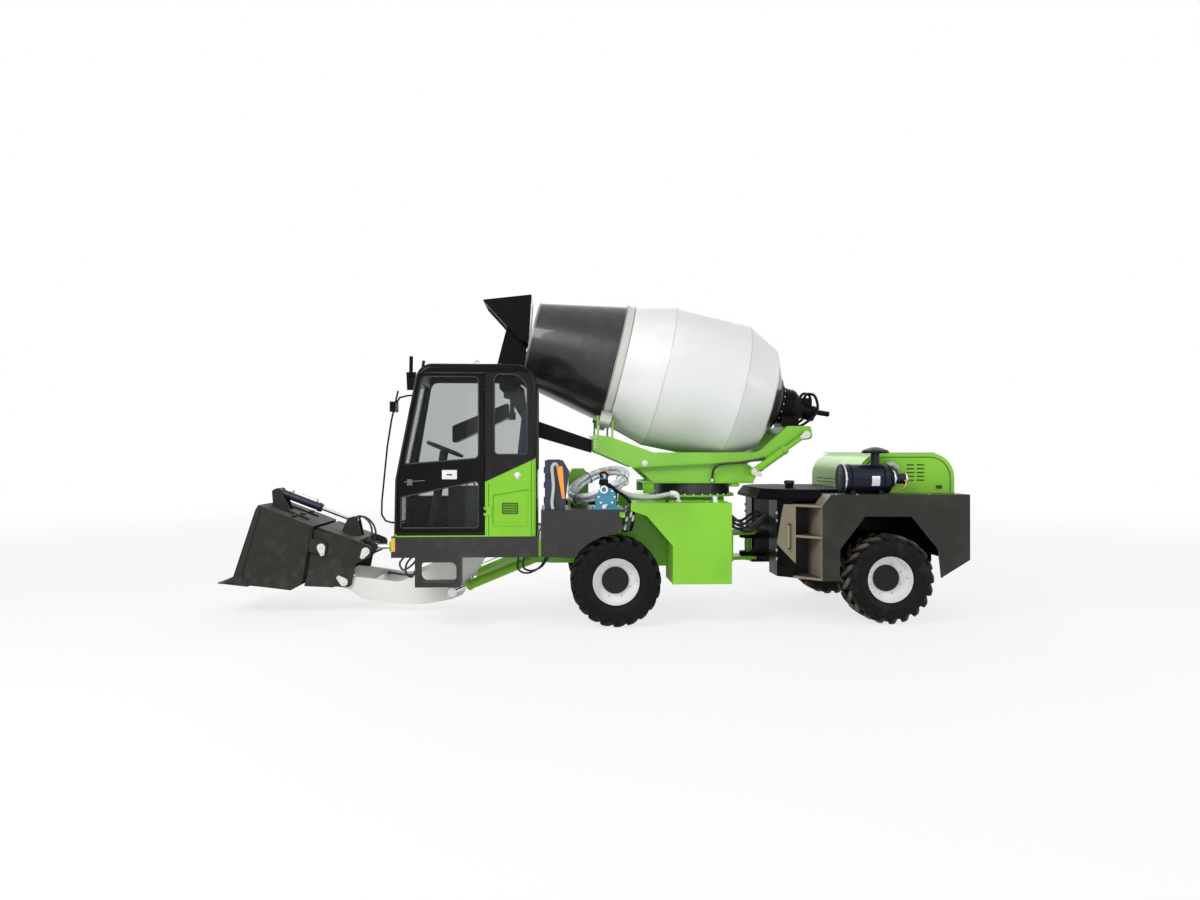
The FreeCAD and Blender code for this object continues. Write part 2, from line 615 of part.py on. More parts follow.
def cab_base():
    """Box-section base under the cab with its floor plate and the step frame below."""
    outer = box(CAB_FRONT - PLATE, -440, -HALF_WIDTH, CAB_INNER, CAB_BASE_BOTTOM, CAB_FLOOR)
    inner = box(CAB_FRONT + 60, -520, -HALF_WIDTH + 80, CAB_INNER - 80, CAB_BASE_BOTTOM - 1, CAB_FLOOR - PLATE)
    step_outer = side_plate([(-1667, CAB_BASE_BOTTOM), (-1215, CAB_BASE_BOTTOM), (-1215, 431), (-1667, 431)],
                            -HALF_WIDTH, -HALF_WIDTH + 200)
    step_hole = side_plate([(-1627, 680, 60), (-1255, 680, 60), (-1255, 480, 60), (-1627, 480, 60)],
                           -HALF_WIDTH - 1, -HALF_WIDTH + 201)
    return fuse(outer.cut(inner), step_outer.cut(step_hole))


def cab_seat():
    """Sprung seat: pedestal, cushion and back."""
    pedestal = box(-1020, -700, -890, -580, CAB_FLOOR, 1250)
    cushion = box(-1130, -620, -980, -490, 1250, 1380)
    back = side_plate([(-700, 1380), (-610, 1380), (-530, 2240, 40), (-610, 2240, 40)], -980, -490)
    return Part.makeCompound([pedestal, cushion, back])


def cab_controls():
    """Steering column with its wheel and the side console."""
    hub = V(-1429, -735, 1795)
    axis = V(381, 0, 925).normalize()
    column = bar(V(-1560, -735, CAB_FLOOR), hub, 45)
    ring = hoop(hub + axis * 20, axis, 190, 16)
    disc = Part.makeCylinder(60, 40, hub, axis)
    spokes = []
    for angle in (90, 210, 330):
        tip = V(cos(radians(angle)), sin(radians(angle)), 0) * 182
        tip = FreeCAD.Rotation(Z_AXIS, axis).multVec(tip)
        spokes.append(bar(hub + axis * 20, hub + axis * 20 + tip, 11))
    console = box(-1420, -700, CAB_INNER - CAB_WALL - 110, CAB_INNER - CAB_WALL, CAB_FLOOR, 1420)
    below = box(-1700, -1400, -900, -600, CAB_FLOOR - 60, CAB_FLOOR)
    return Part.makeCompound([fuse(column, disc, ring, *spokes).cut(below), console])


def rods(points, radius):
    """Round rod through the points, with a ball at each bend."""
    bars = [bar(points[i], points[i + 1], radius) for i in range(len(points) - 1)]
    return fuse(*bars, *[Part.makeSphere(radius, point) for point in points[1:-1]])


def cab_mirror():
    """Mirror rod round the front left corner, and the far bracket with its two rubber-capped stubs."""
    y = -HALF_WIDTH + MIRROR_INSET
    rod = rods([V(x, y, z) for x, z in MIRROR_ROD], MIRROR_RADIUS)
    head = box(-1910, -1853, y - 100, y + 70, 2185, 2286)
    stub = rods([V(-1880, y, 2240), V(-1845, y, 2400)], MIRROR_RADIUS)
    far = CAB_INNER - MIRROR_INSET
    bracket = side_plate([(-1873, 2456), (-1881, 2651), (-1774, 2652), (-1801, 2456)], far - SHEET, far + SHEET)
    arm = rods([V(-1835, far, 2480), V(-1660, far, 2480)], 12)
    tall = rods([V(-1832, far, 2600), V(-1829, far, 2823)], 20)
    short = rods([V(-1800, far, 2560), V(-1712, far, 2660), V(-1693, far, 2777)], 16)
    return fuse(rod, head, stub, bracket, arm, tall, short).cut(cab_block(0))


# ---------------------------------------------------------------- deck equipment
def water_pump():
    axis_z = DECK_TOP + 130
    foot = box(113, 384, -1130, -975, DECK_TOP, DECK_TOP + 30)
    volute = bar(V(250, -1130, axis_z), V(250, -1020, axis_z), 95)
    motor = bar(V(250, -1020, axis_z), V(250, -985, axis_z), 75)
    web = box(140, 350, -1120, -990, DECK_TOP + 30, axis_z)
    valve = bar(V(225, -1060, axis_z + 70), V(225, -1060, axis_z + 190), 38)
    return fuse(foot, volute, motor, web, valve)


def coil_frame():
    """Middle of the hose coil and its long and cross directions."""
    along = V(cos(radians(COIL_RISE)), 0, sin(radians(COIL_RISE)))
    lean = V(-sin(radians(COIL_RISE)), 0, cos(radians(COIL_RISE)))
    across = lean * sin(radians(COIL_LEAN)) + Y_AXIS * cos(radians(COIL_LEAN))
    return V(*COIL_MIDDLE), along, across


def suction_hose():
    """Coil of suction hose leaning over the left deck."""
    middle, along, across = coil_frame()
    return hoop(middle, along.cross(across), COIL_RADIUS, COIL_HALF)


def coil_posts():
    """Three posts from the left deck up to the underside of the hose coil."""
    middle, along, across = coil_frame()
    coil = suction_hose()
    posts = []
    for angle in (60, 180, 300):
        point = middle + along * (COIL_RADIUS * cos(radians(angle))) + across * (COIL_RADIUS * sin(radians(angle)))
        posts.append(bar(V(point.x, point.y, DECK_TOP), point, 15).cut(coil))
    return posts


def control_box():
    """Wedge-shaped controller cabinet on the left deck."""
    return side_plate([(-374, DECK_TOP), (-374, 1700), (-190, 1700), (-125, 1590), (-165, 1280), (-165, DECK_TOP)],
                      -1080, -860)


def oil_tank():
    """Hydraulic oil tank on the front frame behind the boom tower."""
    return side_plate([(-120, FRAME_TOP), (-120, 1530), (-70, 1600), (50, 1600), (100, 1530), (100, FRAME_TOP)],
                      -260, 260)


# ---------------------------------------------------------------- cylinders
def cylinder_pair(base, head, barrel_length, closing, radius, rod_radius, pin_radius, pin_half):
    """Hydraulic cylinder along X-Z from its base pin to its rod eye.

    The rod can close by the given travel. The base eye has a hole for its pin; the rod eye
    carries a pin of its own that reaches pin_half to each side.
    """
    way = head - base
    length = way.Length
    way = way / length
    half = radius * 0.8
    eye = pin_radius + 18
    tube = bar(base, base + way * barrel_length, radius)
    for y in (-1, 1):
        block = bar(base + Y_AXIS * (y * half), base + Y_AXIS * (y * (radius + 5)), eye + 6)
        tube = tube.cut(block)
    bore = bar(base + way * (eye + 20), base + way * (barrel_length + 1), rod_radius + PIN_GAP)
    hole = bar(base - Y_AXIS * (radius + 5), base + Y_AXIS * (radius + 5), pin_radius + PIN_GAP)
    base_eye = bar(base - Y_AXIS * half, base + Y_AXIS * half, eye)
    barrel = fuse(tube.cut(bore), base_eye).cut(hole)
    rod = bar(base + way * (eye + 30 + closing), head, rod_radius)
    head_eye = bar(head - Y_AXIS * half, head + Y_AXIS * half, eye)
    head_pin = bar(head - Y_AXIS * pin_half, head + Y_AXIS * pin_half, pin_radius)
    return barrel, fuse(rod, head_eye, head_pin)


def lift_cylinders():
    """Both lift cylinders, outside the arms, from the front frame to the arms."""
    barrels = []
    rods = []
    for side in (-1, 1):
        y = BOOM_MIDDLE + side * LIFT_OFFSET
        base = V(LIFT_BASE[0], y, LIFT_BASE[1])
        head = V(LIFT_LUG[0], y, LIFT_LUG[1])
        barrel, rod = cylinder_pair(base, head, 860, LIFT_CLOSING, LIFT_BARREL, 28, LIFT_PIN_RADIUS,
                                    LIFT_OFFSET - ARM_OUTER - 1)
        barrels.append(barrel)
        rods.append(rod)
    return Part.makeCompound(barrels), Part.makeCompound(rods)


def tilt_cylinder():
    base = V(TILT_BASE[0], BOOM_MIDDLE, TILT_BASE[1])
    head = V(TILT_PIN[0], BOOM_MIDDLE, TILT_PIN[1])
    return cylinder_pair(base, head, 1010, TILT_CLOSING, 58, 30, PIN_RADIUS, LUG_GAP_HALF - 1)


def gate_cylinder():
    base = V(GATE_LUG[0], BOOM_MIDDLE, GATE_LUG[1])
    head = V(GATE_LEVER[0], BOOM_MIDDLE, GATE_LEVER[1])
    return cylinder_pair(base, head, 530, GATE_CLOSING, 45, 24, 25, LUG_GAP_HALF - 1)


def boom():
    arm_outline = [(-2685, 290, 40), (-2685, 425, 60), (-2480, 400, 40), (-2010, 330, 200), (-1480, 560, 200),
                   (-860, 1255, 90), (-640, 1255, 90), (-640, 1060, 60), (-1080, 560, 150), (-1300, 190, 80),
                   (-1420, 140, 60), (-1700, 92, 60), (-1860, 88, 60), (-2400, 150, 80), (-2560, 265, 60)]
    arms = []
    for side in (-1, 1):
        ys = sorted((BOOM_MIDDLE + side * ARM_OUTER, BOOM_MIDDLE + side * (ARM_OUTER - ARM_THICK)))
        arms.append(side_plate(arm_outline, ys[0], ys[1]))
        ys = sorted((BOOM_MIDDLE + side * ARM_OUTER, BOOM_MIDDLE + side * CARRIER_HALF))
        arms.append(cross_bar(BUCKET_PIN, PIN_RADIUS, ys[0], ys[1]))
    inner0 = BOOM_MIDDLE - ARM_OUTER + ARM_THICK
    inner1 = BOOM_MIDDLE + ARM_OUTER - ARM_THICK
    pivot = cross_bar(BOOM_PIVOT, PIN_RADIUS * 1.5, inner0, inner1)
    rear_tube = cross_bar((-1215, 520), 70, inner0, inner1)
    front_tube = cross_bar((-2330, 270), 55, inner0, inner1)
    ears = []
    for y in (BOOM_MIDDLE - LUG_GAP_HALF - 25, BOOM_MIDDLE + LUG_GAP_HALF):
        ears.append(side_plate([(-1270, 480), (-1240, 760, 40), (-1120, 770, 40), (-1150, 480)], y, y + 25))
    pin = cross_bar(TILT_BASE, PIN_RADIUS, BOOM_MIDDLE - LUG_GAP_HALF, BOOM_MIDDLE + LUG_GAP_HALF)
    return fuse(*arms, pivot, rear_tube, front_tube, pin, *ears)


def bucket_carrier():
    """Rear half of the bucket, hung on the boom and turned by the tilt cylinder."""
    side = [(-2935, 935, 30), (-2454, 796, 60), (-2300, 735, 60), (-2320, 615, 60), (-2480, 545, 60),
            (-2528, 290, 40), (-3040, 303, 20), (-3000, 430)]
    inner = CARRIER_HALF
    plates = []
    for y in (BOOM_MIDDLE - inner, BOOM_MIDDLE + inner - PLATE):
        plate = side_plate(side, y, y + PLATE)
        bore = cross_bar(BUCKET_PIN, PIN_RADIUS + PIN_GAP, y - 1, y + PLATE + 1)
        plates.append(plate.cut(bore))
    y0 = BOOM_MIDDLE - inner + PLATE
    y1 = BOOM_MIDDLE + inner - PLATE
    back = [strip((-2480, 790), (-2715, 470), PLATE, y0, y1), strip((-2710, 480), (-2725, 283), PLATE, y0, y1)]
    floor = strip((-2725, 283), (-3040, 300), PLATE, y0, y1)
    top = strip((-2888, 949), (-2454, 796), PLATE, y0, y1)
    shell_pins = [cross_bar(SHELL_PIN, PIN_RADIUS, BOOM_MIDDLE - BUCKET_HALF, BOOM_MIDDLE - inner),
                  cross_bar(SHELL_PIN, PIN_RADIUS, BOOM_MIDDLE + inner, BOOM_MIDDLE + BUCKET_HALF)]
    ears = []
    for y in (BOOM_MIDDLE - LUG_GAP_HALF - 25, BOOM_MIDDLE + LUG_GAP_HALF):
        ears.append(side_plate([(-2430, 640, 20), (-2320, 640, 40), (-2310, 720, 40), (-2400, 760, 30), (-2470, 780)],
                               y, y + 25))
    lever = []
    for y in (BOOM_MIDDLE - LUG_GAP_HALF - 20, BOOM_MIDDLE + LUG_GAP_HALF):
        lever.append(side_plate([(-2720, 885), (-2650, 1030, 40), (-2550, 1040, 40), (-2500, 808)], y, y + 20))
    return fuse(*plates, *back, floor, top, *shell_pins, *ears, *lever)


def bucket_shell():
    """Front half of the bucket, which swings up about its side pins to open the bottom."""
    side = [(-2932, 965), (-3440, 1165), (-3526, 1202), (-3560, 1140), (-3795, 417), (-3900, 345),
            (-3634, 322), (-3174, 262), (-3069, 335), (-2985, 690), (-2845, 660), (-2790, 690, 30),
            (-2780, 780, 30), (-2845, 810), (-2950, 830)]
    plates = []
    for y in (BOOM_MIDDLE - BUCKET_HALF, BOOM_MIDDLE + BUCKET_HALF - SHELL_SIDE):
        plate = side_plate(side, y, y + SHELL_SIDE)
        plates.append(plate.cut(cross_bar(SHELL_PIN, PIN_RADIUS + PIN_GAP, y - 1, y + SHELL_SIDE + 1)))
    y0 = BOOM_MIDDLE - BUCKET_HALF + SHELL_SIDE
    y1 = BOOM_MIDDLE + BUCKET_HALF - SHELL_SIDE
    top = strip((-3526, 1202), (-2932, 965), 16, y0, y1)
    floor = strip((-3174, 262), (-3900, 345), 20, y0, y1)
    heel = strip((-3075, 320), (-3174, 262), 20, y0, y1)
    lip = side_plate([(-3963, 353), (-3963, 345), (-3640, 305), (-3640, 324), (-3780, 346)],
                     BOOM_MIDDLE - BUCKET_HALF, BOOM_MIDDLE + BUCKET_HALF)
    lugs = []
    for y in (BOOM_MIDDLE - LUG_GAP_HALF - 20, BOOM_MIDDLE + LUG_GAP_HALF):
        lugs.append(side_plate([(-3500, 1180), (-3515, 1350, 40), (-3420, 1380, 40), (-3300, 1095)], y, y + 20))
    lugs.append(cross_bar(GATE_LUG, 25, BOOM_MIDDLE - LUG_GAP_HALF, BOOM_MIDDLE + LUG_GAP_HALF))
    return fuse(*plates, top, floor, heel, lip, *lugs)


# ---------------------------------------------------------------- drum turret
def drum_point(station):
    """X-Z point on the drum axis at a distance from the mouth."""
    return (DRUM_MOUTH[0] + station * cos(DRUM_TILT), DRUM_MOUTH[1] - station * sin(DRUM_TILT))


def drum_turned(profile):
    start = V(DRUM_MOUTH[0], 0, DRUM_MOUTH[1])
    return turned(profile, start, V(cos(DRUM_TILT), 0, -sin(DRUM_TILT)))


def drum():
    """Double-cone drum, open at its mouth, with the running ring on the front cone."""
    outer = [(0, DRUM_MOUTH_RADIUS), (DRUM_RING_STATION, DRUM_CONE_RADIUS)] + list(DRUM_BELLY)
    outer.append((DRUM_END - 15, DRUM_END_RADIUS))
    inner = [(s, r - DRUM_WALL) for s, r in reversed(outer[1:-1])]
    profile = outer + [(DRUM_END, DRUM_END_RADIUS), (DRUM_END, 0), (DRUM_END - 25, 0),
                       (DRUM_END - 25, DRUM_END_RADIUS - DRUM_WALL)] + inner
    profile.append((0, DRUM_MOUTH_RADIUS - DRUM_WALL))
    half = DRUM_RING_WIDTH / 2
    ring = [(DRUM_RING_STATION - half, DRUM_CONE_RADIUS - 10), (DRUM_RING_STATION - half, DRUM_RING_RADIUS),
            (DRUM_RING_STATION + half, DRUM_RING_RADIUS), (DRUM_RING_STATION + half, DRUM_CONE_RADIUS - 3)]
    return fuse(drum_turned(profile), drum_turned(ring))


def drum_drive():
    """Reducer on the drum axis with its hydraulic motor behind it and a foot to the cradle."""
    start = DRUM_END + RUN_GAP
    profile = [(start, 0), (start, 235), (start + 40, 235), (start + 40, 205), (start + 190, 205),
               (start + 300, 120), (start + 330, 90), (start + 470, 90), (start + 470, 0)]
    body = drum_turned(profile)
    foot = box(2300, 2500, -170, 170, 2070, 2200)
    tail = bar(V(2690, 0, 2255), V(2900, 0, 2222), 30)
    return fuse(body, foot, tail)


def slew_base():
    """Fixed half of the slewing ring with the column under it."""
    column = bar(V(SLEW_X, 0, FRAME_TOP), V(SLEW_X, 0, FLANGE_BOTTOM), SLEW_RADIUS - 60)
    flange = bar(V(SLEW_X, 0, FLANGE_BOTTOM), V(SLEW_X, 0, FLANGE_BOTTOM + PLATE), SLEW_RADIUS + 50)
    ring = bar(V(SLEW_X, 0, FLANGE_BOTTOM + PLATE), V(SLEW_X, 0, SLEW_FACE), SLEW_RADIUS)
    bore = bar(V(SLEW_X, 0, FRAME_TOP - 1), V(SLEW_X, 0, SLEW_FACE + 1), SLEW_RADIUS - 90)
    return fuse(column, flange, ring).cut(bore)


def turntable():
    """Turning ring, deck and webs that carry the cradle pivots."""
    ring = bar(V(SLEW_X, 0, SLEW_FACE + RUN_GAP), V(SLEW_X, 0, TURNTABLE_BOTTOM), SLEW_RADIUS)
    ring = ring.cut(bar(V(SLEW_X, 0, SLEW_FACE), V(SLEW_X, 0, TURNTABLE_BOTTOM + 1), SLEW_RADIUS - 90))
    deck = box(800, 1900, -TURNTABLE_HALF, TURNTABLE_HALF, TURNTABLE_BOTTOM, TURNTABLE_BOTTOM + PLATE)
    web_outline = [(820, TURNTABLE_BOTTOM), (1910, TURNTABLE_BOTTOM), (1960, 1560, 50), (1860, 1650, 30),
                   (860, 1655, 40), (760, 1735, 50), (650, 1735, 60), (640, 1600, 60)]
    web = side_plate(web_outline, -TURNTABLE_HALF, -TURNTABLE_HALF + PLATE)
    front_wall = box(820, 840, -TURNTABLE_HALF + PLATE, TURNTABLE_HALF - PLATE, TURNTABLE_BOTTOM + PLATE, 1600)
    rear_wall = box(1880, 1900, -TURNTABLE_HALF + PLATE, TURNTABLE_HALF - PLATE, TURNTABLE_BOTTOM + PLATE, 1600)
    pins = []
    for point, radius in ((CRADLE_PIVOT, 40), (CRADLE_LIFT_LOW, 30)):
        reach = TURNTABLE_HALF + CRADLE_BEAM + (0 if point == CRADLE_PIVOT else 80)
        pins.append(cross_bar(point, radius, -reach, -TURNTABLE_HALF + PLATE))
    half = fuse(web, *pins)
    return fuse(ring, deck, half, mirrored(half), front_wall, rear_wall)


def drum_cradle():
    """Two side beams with cross members, the roller brackets and the drive bracket."""
    side = [(140, 1800), (140, 1975), (330, 1950), (800, 1780, 80), (1960, 1780, 150), (2280, 2070),
            (2540, 2070, 30), (2560, 1930, 40), (2350, 1900, 60), (2100, 1690, 80), (1600, 1660), (600, 1605, 50)]
    beam = side_plate(side, -TURNTABLE_HALF - CRADLE_BEAM, -TURNTABLE_HALF)
    beam = beam.cut(cross_bar(CRADLE_PIVOT, 40, -TURNTABLE_HALF - CRADLE_BEAM - 1, -TURNTABLE_HALF + 1))
    high_pin = cross_bar(CRADLE_LIFT_HIGH, 30, -TURNTABLE_HALF - CRADLE_BEAM - 80, -TURNTABLE_HALF)
    half = fuse(beam, high_pin)
    front_cross = box(140, 230, -TURNTABLE_HALF, TURNTABLE_HALF, 1800, 1960)
    rear_cross = box(2300, 2530, -TURNTABLE_HALF, TURNTABLE_HALF, 2000, 2070)
    axis = V(cos(DRUM_TILT), 0, -sin(DRUM_TILT))
    down = V(-sin(DRUM_TILT), 0, -cos(DRUM_TILT))
    reach = DRUM_RING_RADIUS + ROLLER_RADIUS + RUN_GAP
    drop = sqrt(reach * reach - ROLLER_Y * ROLLER_Y)
    centre = drum_point(DRUM_RING_STATION)
    rollers = []
    for side_sign in (-1, 1):
        middle = V(centre[0], side_sign * ROLLER_Y, centre[1]) + down * drop
        rollers.append(bar(middle - axis * (ROLLER_LENGTH / 2), middle + axis * (ROLLER_LENGTH / 2), ROLLER_RADIUS))
        rollers.append(bar(middle - axis * (ROLLER_LENGTH / 2 + 40), middle + axis * (ROLLER_LENGTH / 2 + 40), 25))
        for end in (-1, 1):
            at = middle + axis * (end * (ROLLER_LENGTH / 2 + 20))
            cheek = box(at.x - 10, at.x + 10, at.y - 45, at.y + 45, 1930, at.z + 20)
            rollers.append(cheek)
    return fuse(half, mirrored(half), front_cross, rear_cross, *rollers)


def cradle_cylinders():
    """Cylinders that hold the cradle, one on each side."""
    y = -TURNTABLE_HALF - CRADLE_BEAM - 50
    low = V(CRADLE_LIFT_LOW[0], y, CRADLE_LIFT_LOW[1])
    high = V(CRADLE_LIFT_HIGH[0], y, CRADLE_LIFT_HIGH[1])
    way = (high - low).normalize()
    barrel = bar(low, low + way * 430, 42)
    rod = bar(low + way * 430, high, 24)
    eyes = [cross_bar(CRADLE_LIFT_LOW, 52, y - 28, y + 28), cross_bar(CRADLE_LIFT_HIGH, 46, y - 28, y + 28)]
    holes = [cross_bar(CRADLE_LIFT_LOW, 30, y - 60, y + 60), cross_bar(CRADLE_LIFT_HIGH, 30, y - 60, y + 60)]
    return both_sides(fuse(barrel, rod, *eyes).cut(holes))


def feed_arm():
    """Black front beam from the cradle with the strut that carries hopper and chute."""
    beam = side_plate([(140, 1775), (140, 1925), (-476, 2137, 60), (-560, 2140), (-580, 2000, 40), (-476, 1955)],
                      -90, 90)
    strut = side_plate([(-560, 2020), (-480, 2140), (-700, 2400), (-850, 2480), (-850, 2400), (-780, 2380)], -60, 60)
    gusset = side_plate([(-700, 2400), (-672, 2545), (-620, 2500), (-590, 2270)], -60, 60)
    saddle = side_plate([(-700, 2400), (-672, 2545), (-654, 2531), (-680, 2396)], -240, 240)
    post = bar(V(CHUTE_X, CHUTE_Y, 2150), V(CHUTE_X, CHUTE_Y, 2400), 25)
    post = fuse(post, bar(V(CHUTE_X, CHUTE_Y, 2150), V(CHUTE_X, CHUTE_Y, 2160), 40))
    return fuse(beam, strut, gusset, saddle, post)


def feed_hopper():
    """Loading hopper over the drum mouth, its spout and the shroud below it."""
    side = [(-1054, 3454), (-532, 3516), (-567, 3003), (-640, 3003)]
    cheeks = [side_plate(side, y, y + SHEET) for y in (-330, 330 - SHEET)]
    floor = strip((-640, 3003), (-1054, 3454), SHEET, -330 + SHEET, 330 - SHEET)
    rear = strip((-532, 3516), (-567, 3003), SHEET, -330 + SHEET, 330 - SHEET)
    shroud_side = [(-797, 3180), (-905, 2760), (-880, 2480), (-700, 2400), (-672, 2545), (-585, 2925), (-637, 3006)]
    shroud = [side_plate(shroud_side, y, y + SHEET) for y in (-240, 240 - SHEET)]
    shroud.append(strip((-905, 2760), (-797, 3180), SHEET, -240 + SHEET, 240 - SHEET))
    shroud.append(strip((-880, 2480), (-905, 2760), SHEET, -240 + SHEET, 240 - SHEET))
    return fuse(*cheeks, floor, rear, *shroud)


def discharge_chute():
    """Open trough that swings on its post below the mouth."""
    outer = side_plate([(-800, 2170), (-800, 2330), (-1420, 2070), (-1420, 1900), (-1390, 1890)],
                       CHUTE_Y - 150, CHUTE_Y + 150)
    inner = side_plate([(-792, 2182), (-792, 2400), (-1440, 2200), (-1440, 1912), (-1390, 1902)],
                       CHUTE_Y - 142, CHUTE_Y + 142)
    sleeve = bar(V(CHUTE_X, CHUTE_Y, 2160 + RUN_GAP), V(CHUTE_X, CHUTE_Y, 2240), 42)
    arm = box(-800, CHUTE_X, CHUTE_Y - 25, CHUTE_Y + 25, 2175, 2235)
    hole = bar(V(CHUTE_X, CHUTE_Y, 2100), V(CHUTE_X, CHUTE_Y, 2300), 25 + PIN_GAP)
    return fuse(outer.cut(inner), sleeve, arm).cut(hole)


# ---------------------------------------------------------------- rear frame
def rear_chassis():
    shell = box(REAR_FRAME_FRONT, 3930, -REAR_FRAME_HALF, REAR_FRAME_HALF, REAR_FRAME_BOTTOM, REAR_FRAME_TOP)
    hollow = box(REAR_FRAME_FRONT + PLATE, 3931, -REAR_FRAME_HALF + PLATE, REAR_FRAME_HALF - PLATE,
                 REAR_FRAME_BOTTOM + PLATE, REAR_FRAME_TOP - PLATE)
    ears = []
    hole = bar(V(WAIST_X, 0, 400), V(WAIST_X, 0, 1100), WAIST_PIN_RADIUS + PIN_GAP)
    for z in (WAIST_LOW, WAIST_HIGH - WAIST_EAR):
        ear = floor_plate([(REAR_FRAME_FRONT + 1, -WAIST_EAR_HALF), (REAR_FRAME_FRONT + 1, WAIST_EAR_HALF),
                           (WAIST_X - 90, 90, 80), (WAIST_X - 90, -90, 80)], z, z + WAIST_EAR)
        ears.append(ear.cut(hole))
    pads = saddles(REAR_AXLE_X, REAR_FRAME_HALF, REAR_FRAME_BOTTOM)
    ledges = []
    for x in (BODY_SLOPE + 20, 3620):
        for side in (-1, 1):
            ys = sorted((side * REAR_FRAME_HALF, side * (HALF_WIDTH - PLATE)))
            ledges.append(box(x, x + 60, ys[0], ys[1], REAR_FRAME_TOP + 300, BODY_TOP - PLATE))
            inner = sorted((side * REAR_FRAME_HALF, side * (REAR_FRAME_HALF - 60)))
            ledges.append(box(x, x + 60, inner[0], inner[1], REAR_FRAME_TOP, BODY_TOP - PLATE))
    return fuse(shell.cut(hollow), *ears, *pads, *ledges).cut(bulb_room(REAR_AXLE_X))


def corner_y(x):
    """Outer face of the tapered front corner at x, on the left side."""
    slope = (HALF_WIDTH - PLATE - NOSE_HALF) / (BODY_FRONT - NOSE_X)
    return -NOSE_HALF - (x - NOSE_X) * slope


def corner_plate():
    """Slanted plate ahead of the steps, with its curved front edge and its grab handle."""
    front = NOSE_X - 70
    back = STEP_X + 18
    depth = 23
    plate = floor_plate([(front, corner_y(front)), (back, corner_y(back)), (back + depth, corner_y(back)),
                         (front + depth, corner_y(front))], BODY_BOTTOM, CORNER_TOP)
    kept = side_plate([(NOSE_X, CORNER_TOP), (back, CORNER_TOP), (back, 615), (2153, 728, 60), (2090, 805, 20),
                       (2103, 900), (2130, 1107, 150)], -HALF_WIDTH, -NOSE_HALF + 110)
    foot = V(2205, corner_y(2205), 0)
    out = V(corner_y(BODY_FRONT) - corner_y(NOSE_X), NOSE_X - BODY_FRONT, 0).normalize()
    grip = foot + out * 45
    handle = [bar(V(grip.x, grip.y, 760), V(grip.x, grip.y, 1035), 11)]
    for z in (775, 1020):
        handle.append(bar(V(foot.x, foot.y, z) - out * 5, V(grip.x, grip.y, z), 9))
    return fuse(plate.common(kept), *handle)


def rear_panels():
    """Left and right body sides: skirt, deck, rear wall and the front corner with its steps."""
    outer = -HALF_WIDTH + PLATE
    skirt = side_plate([(BODY_FRONT, BODY_BOTTOM), (BODY_FRONT, CORNER_TOP), (BODY_SLOPE, BODY_TOP),
                        (BODY_REAR, BODY_TOP), (BODY_REAR, 669), (3723, 496), (3713, 485), (3681, 784),
                        (3397, 1126), (2905, 1128), (2644, 791), (2634, BODY_BOTTOM)], -HALF_WIDTH, outer)
    deck = box(BODY_SLOPE, BODY_REAR, outer, -DECK_HALF, BODY_TOP - PLATE, BODY_TOP)
    rear = box(BODY_REAR - PLATE, BODY_REAR, outer, -DECK_HALF, 669, BODY_TOP - PLATE)
    slope = strip((BODY_FRONT, CORNER_TOP), (BODY_SLOPE, BODY_TOP), PLATE, outer, -NOSE_BOX_HALF)
    side_wall = box(BODY_FRONT, BODY_FRONT + PLATE, outer, -STEP_BACK + PLATE, BODY_BOTTOM, CORNER_TOP)
    back_wall = box(STEP_X, BODY_FRONT, -STEP_BACK, -STEP_BACK + PLATE, BODY_BOTTOM, CORNER_TOP)
    steps = []
    for z in STEP_HEIGHTS:
        steps.append(floor_plate([(STEP_X, corner_y(STEP_X)), (BODY_FRONT, outer), (BODY_FRONT, -STEP_BACK),
                                  (STEP_X, -STEP_BACK)], z, z + STEP_THICK))
    left = fuse(skirt, deck, rear, slope, side_wall, back_wall, corner_plate(), *steps)
    return both_sides(left).cut(lamps()["rear_lamps"])


def step_tanks():
    """Tanks behind the tapered corners, under the nose deck."""
    depth = 23
    slant = TANK_NOSE - depth
    inner = -REAR_FRAME_HALF
    tank = floor_plate([(TANK_NOSE, inner), (TANK_NOSE, corner_y(slant)), (STEP_X, corner_y(STEP_X - depth)),
                        (STEP_X, -STEP_BACK + PLATE), (BODY_FRONT, -STEP_BACK + PLATE), (BODY_FRONT, inner)],
                       BODY_BOTTOM, NOSE_TOP - 115)
    return both_sides(tank)


def nose_deck():
    """Bevelled deck over the nose, the flat deck behind it and the filler cap."""
    bottom = NOSE_TOP - 115
    lip = NOSE_TOP - 85
    low = [(1940, -500), (NOSE_X, -NOSE_HALF - 20), (BODY_SLOPE, -NOSE_BOX_HALF), (BODY_SLOPE, NOSE_BOX_HALF),
           (NOSE_X, NOSE_HALF + 20), (1940, 500)]
    high = [(2000, -470), (2180, -760), (BODY_SLOPE, -NOSE_BOX_HALF + 80), (BODY_SLOPE, NOSE_BOX_HALF - 80),
            (2180, 760), (2000, 470)]
    wires = []
    for corners, z in ((low, lip), (high, NOSE_TOP)):
        points = [V(x, y, z) for x, y in corners]
        wires.append(Part.makePolygon(points + points[:1]))
    bevel = Part.makeLoft(wires, True, True)
    flat = box(BODY_SLOPE, HOOD_FRONT, -DECK_HALF, DECK_HALF, BODY_TOP - PLATE, NOSE_TOP)
    legs = box(REAR_FRAME_FRONT, REAR_FRAME_FRONT + PLATE, -REAR_FRAME_HALF, REAR_FRAME_HALF, REAR_FRAME_TOP, bottom)
    cap = bar(V(2325, -400, NOSE_TOP), V(2325, -400, NOSE_TOP + 85), 45)
    return fuse(floor_plate(low, bottom, lip), bevel, flat, legs, cap)


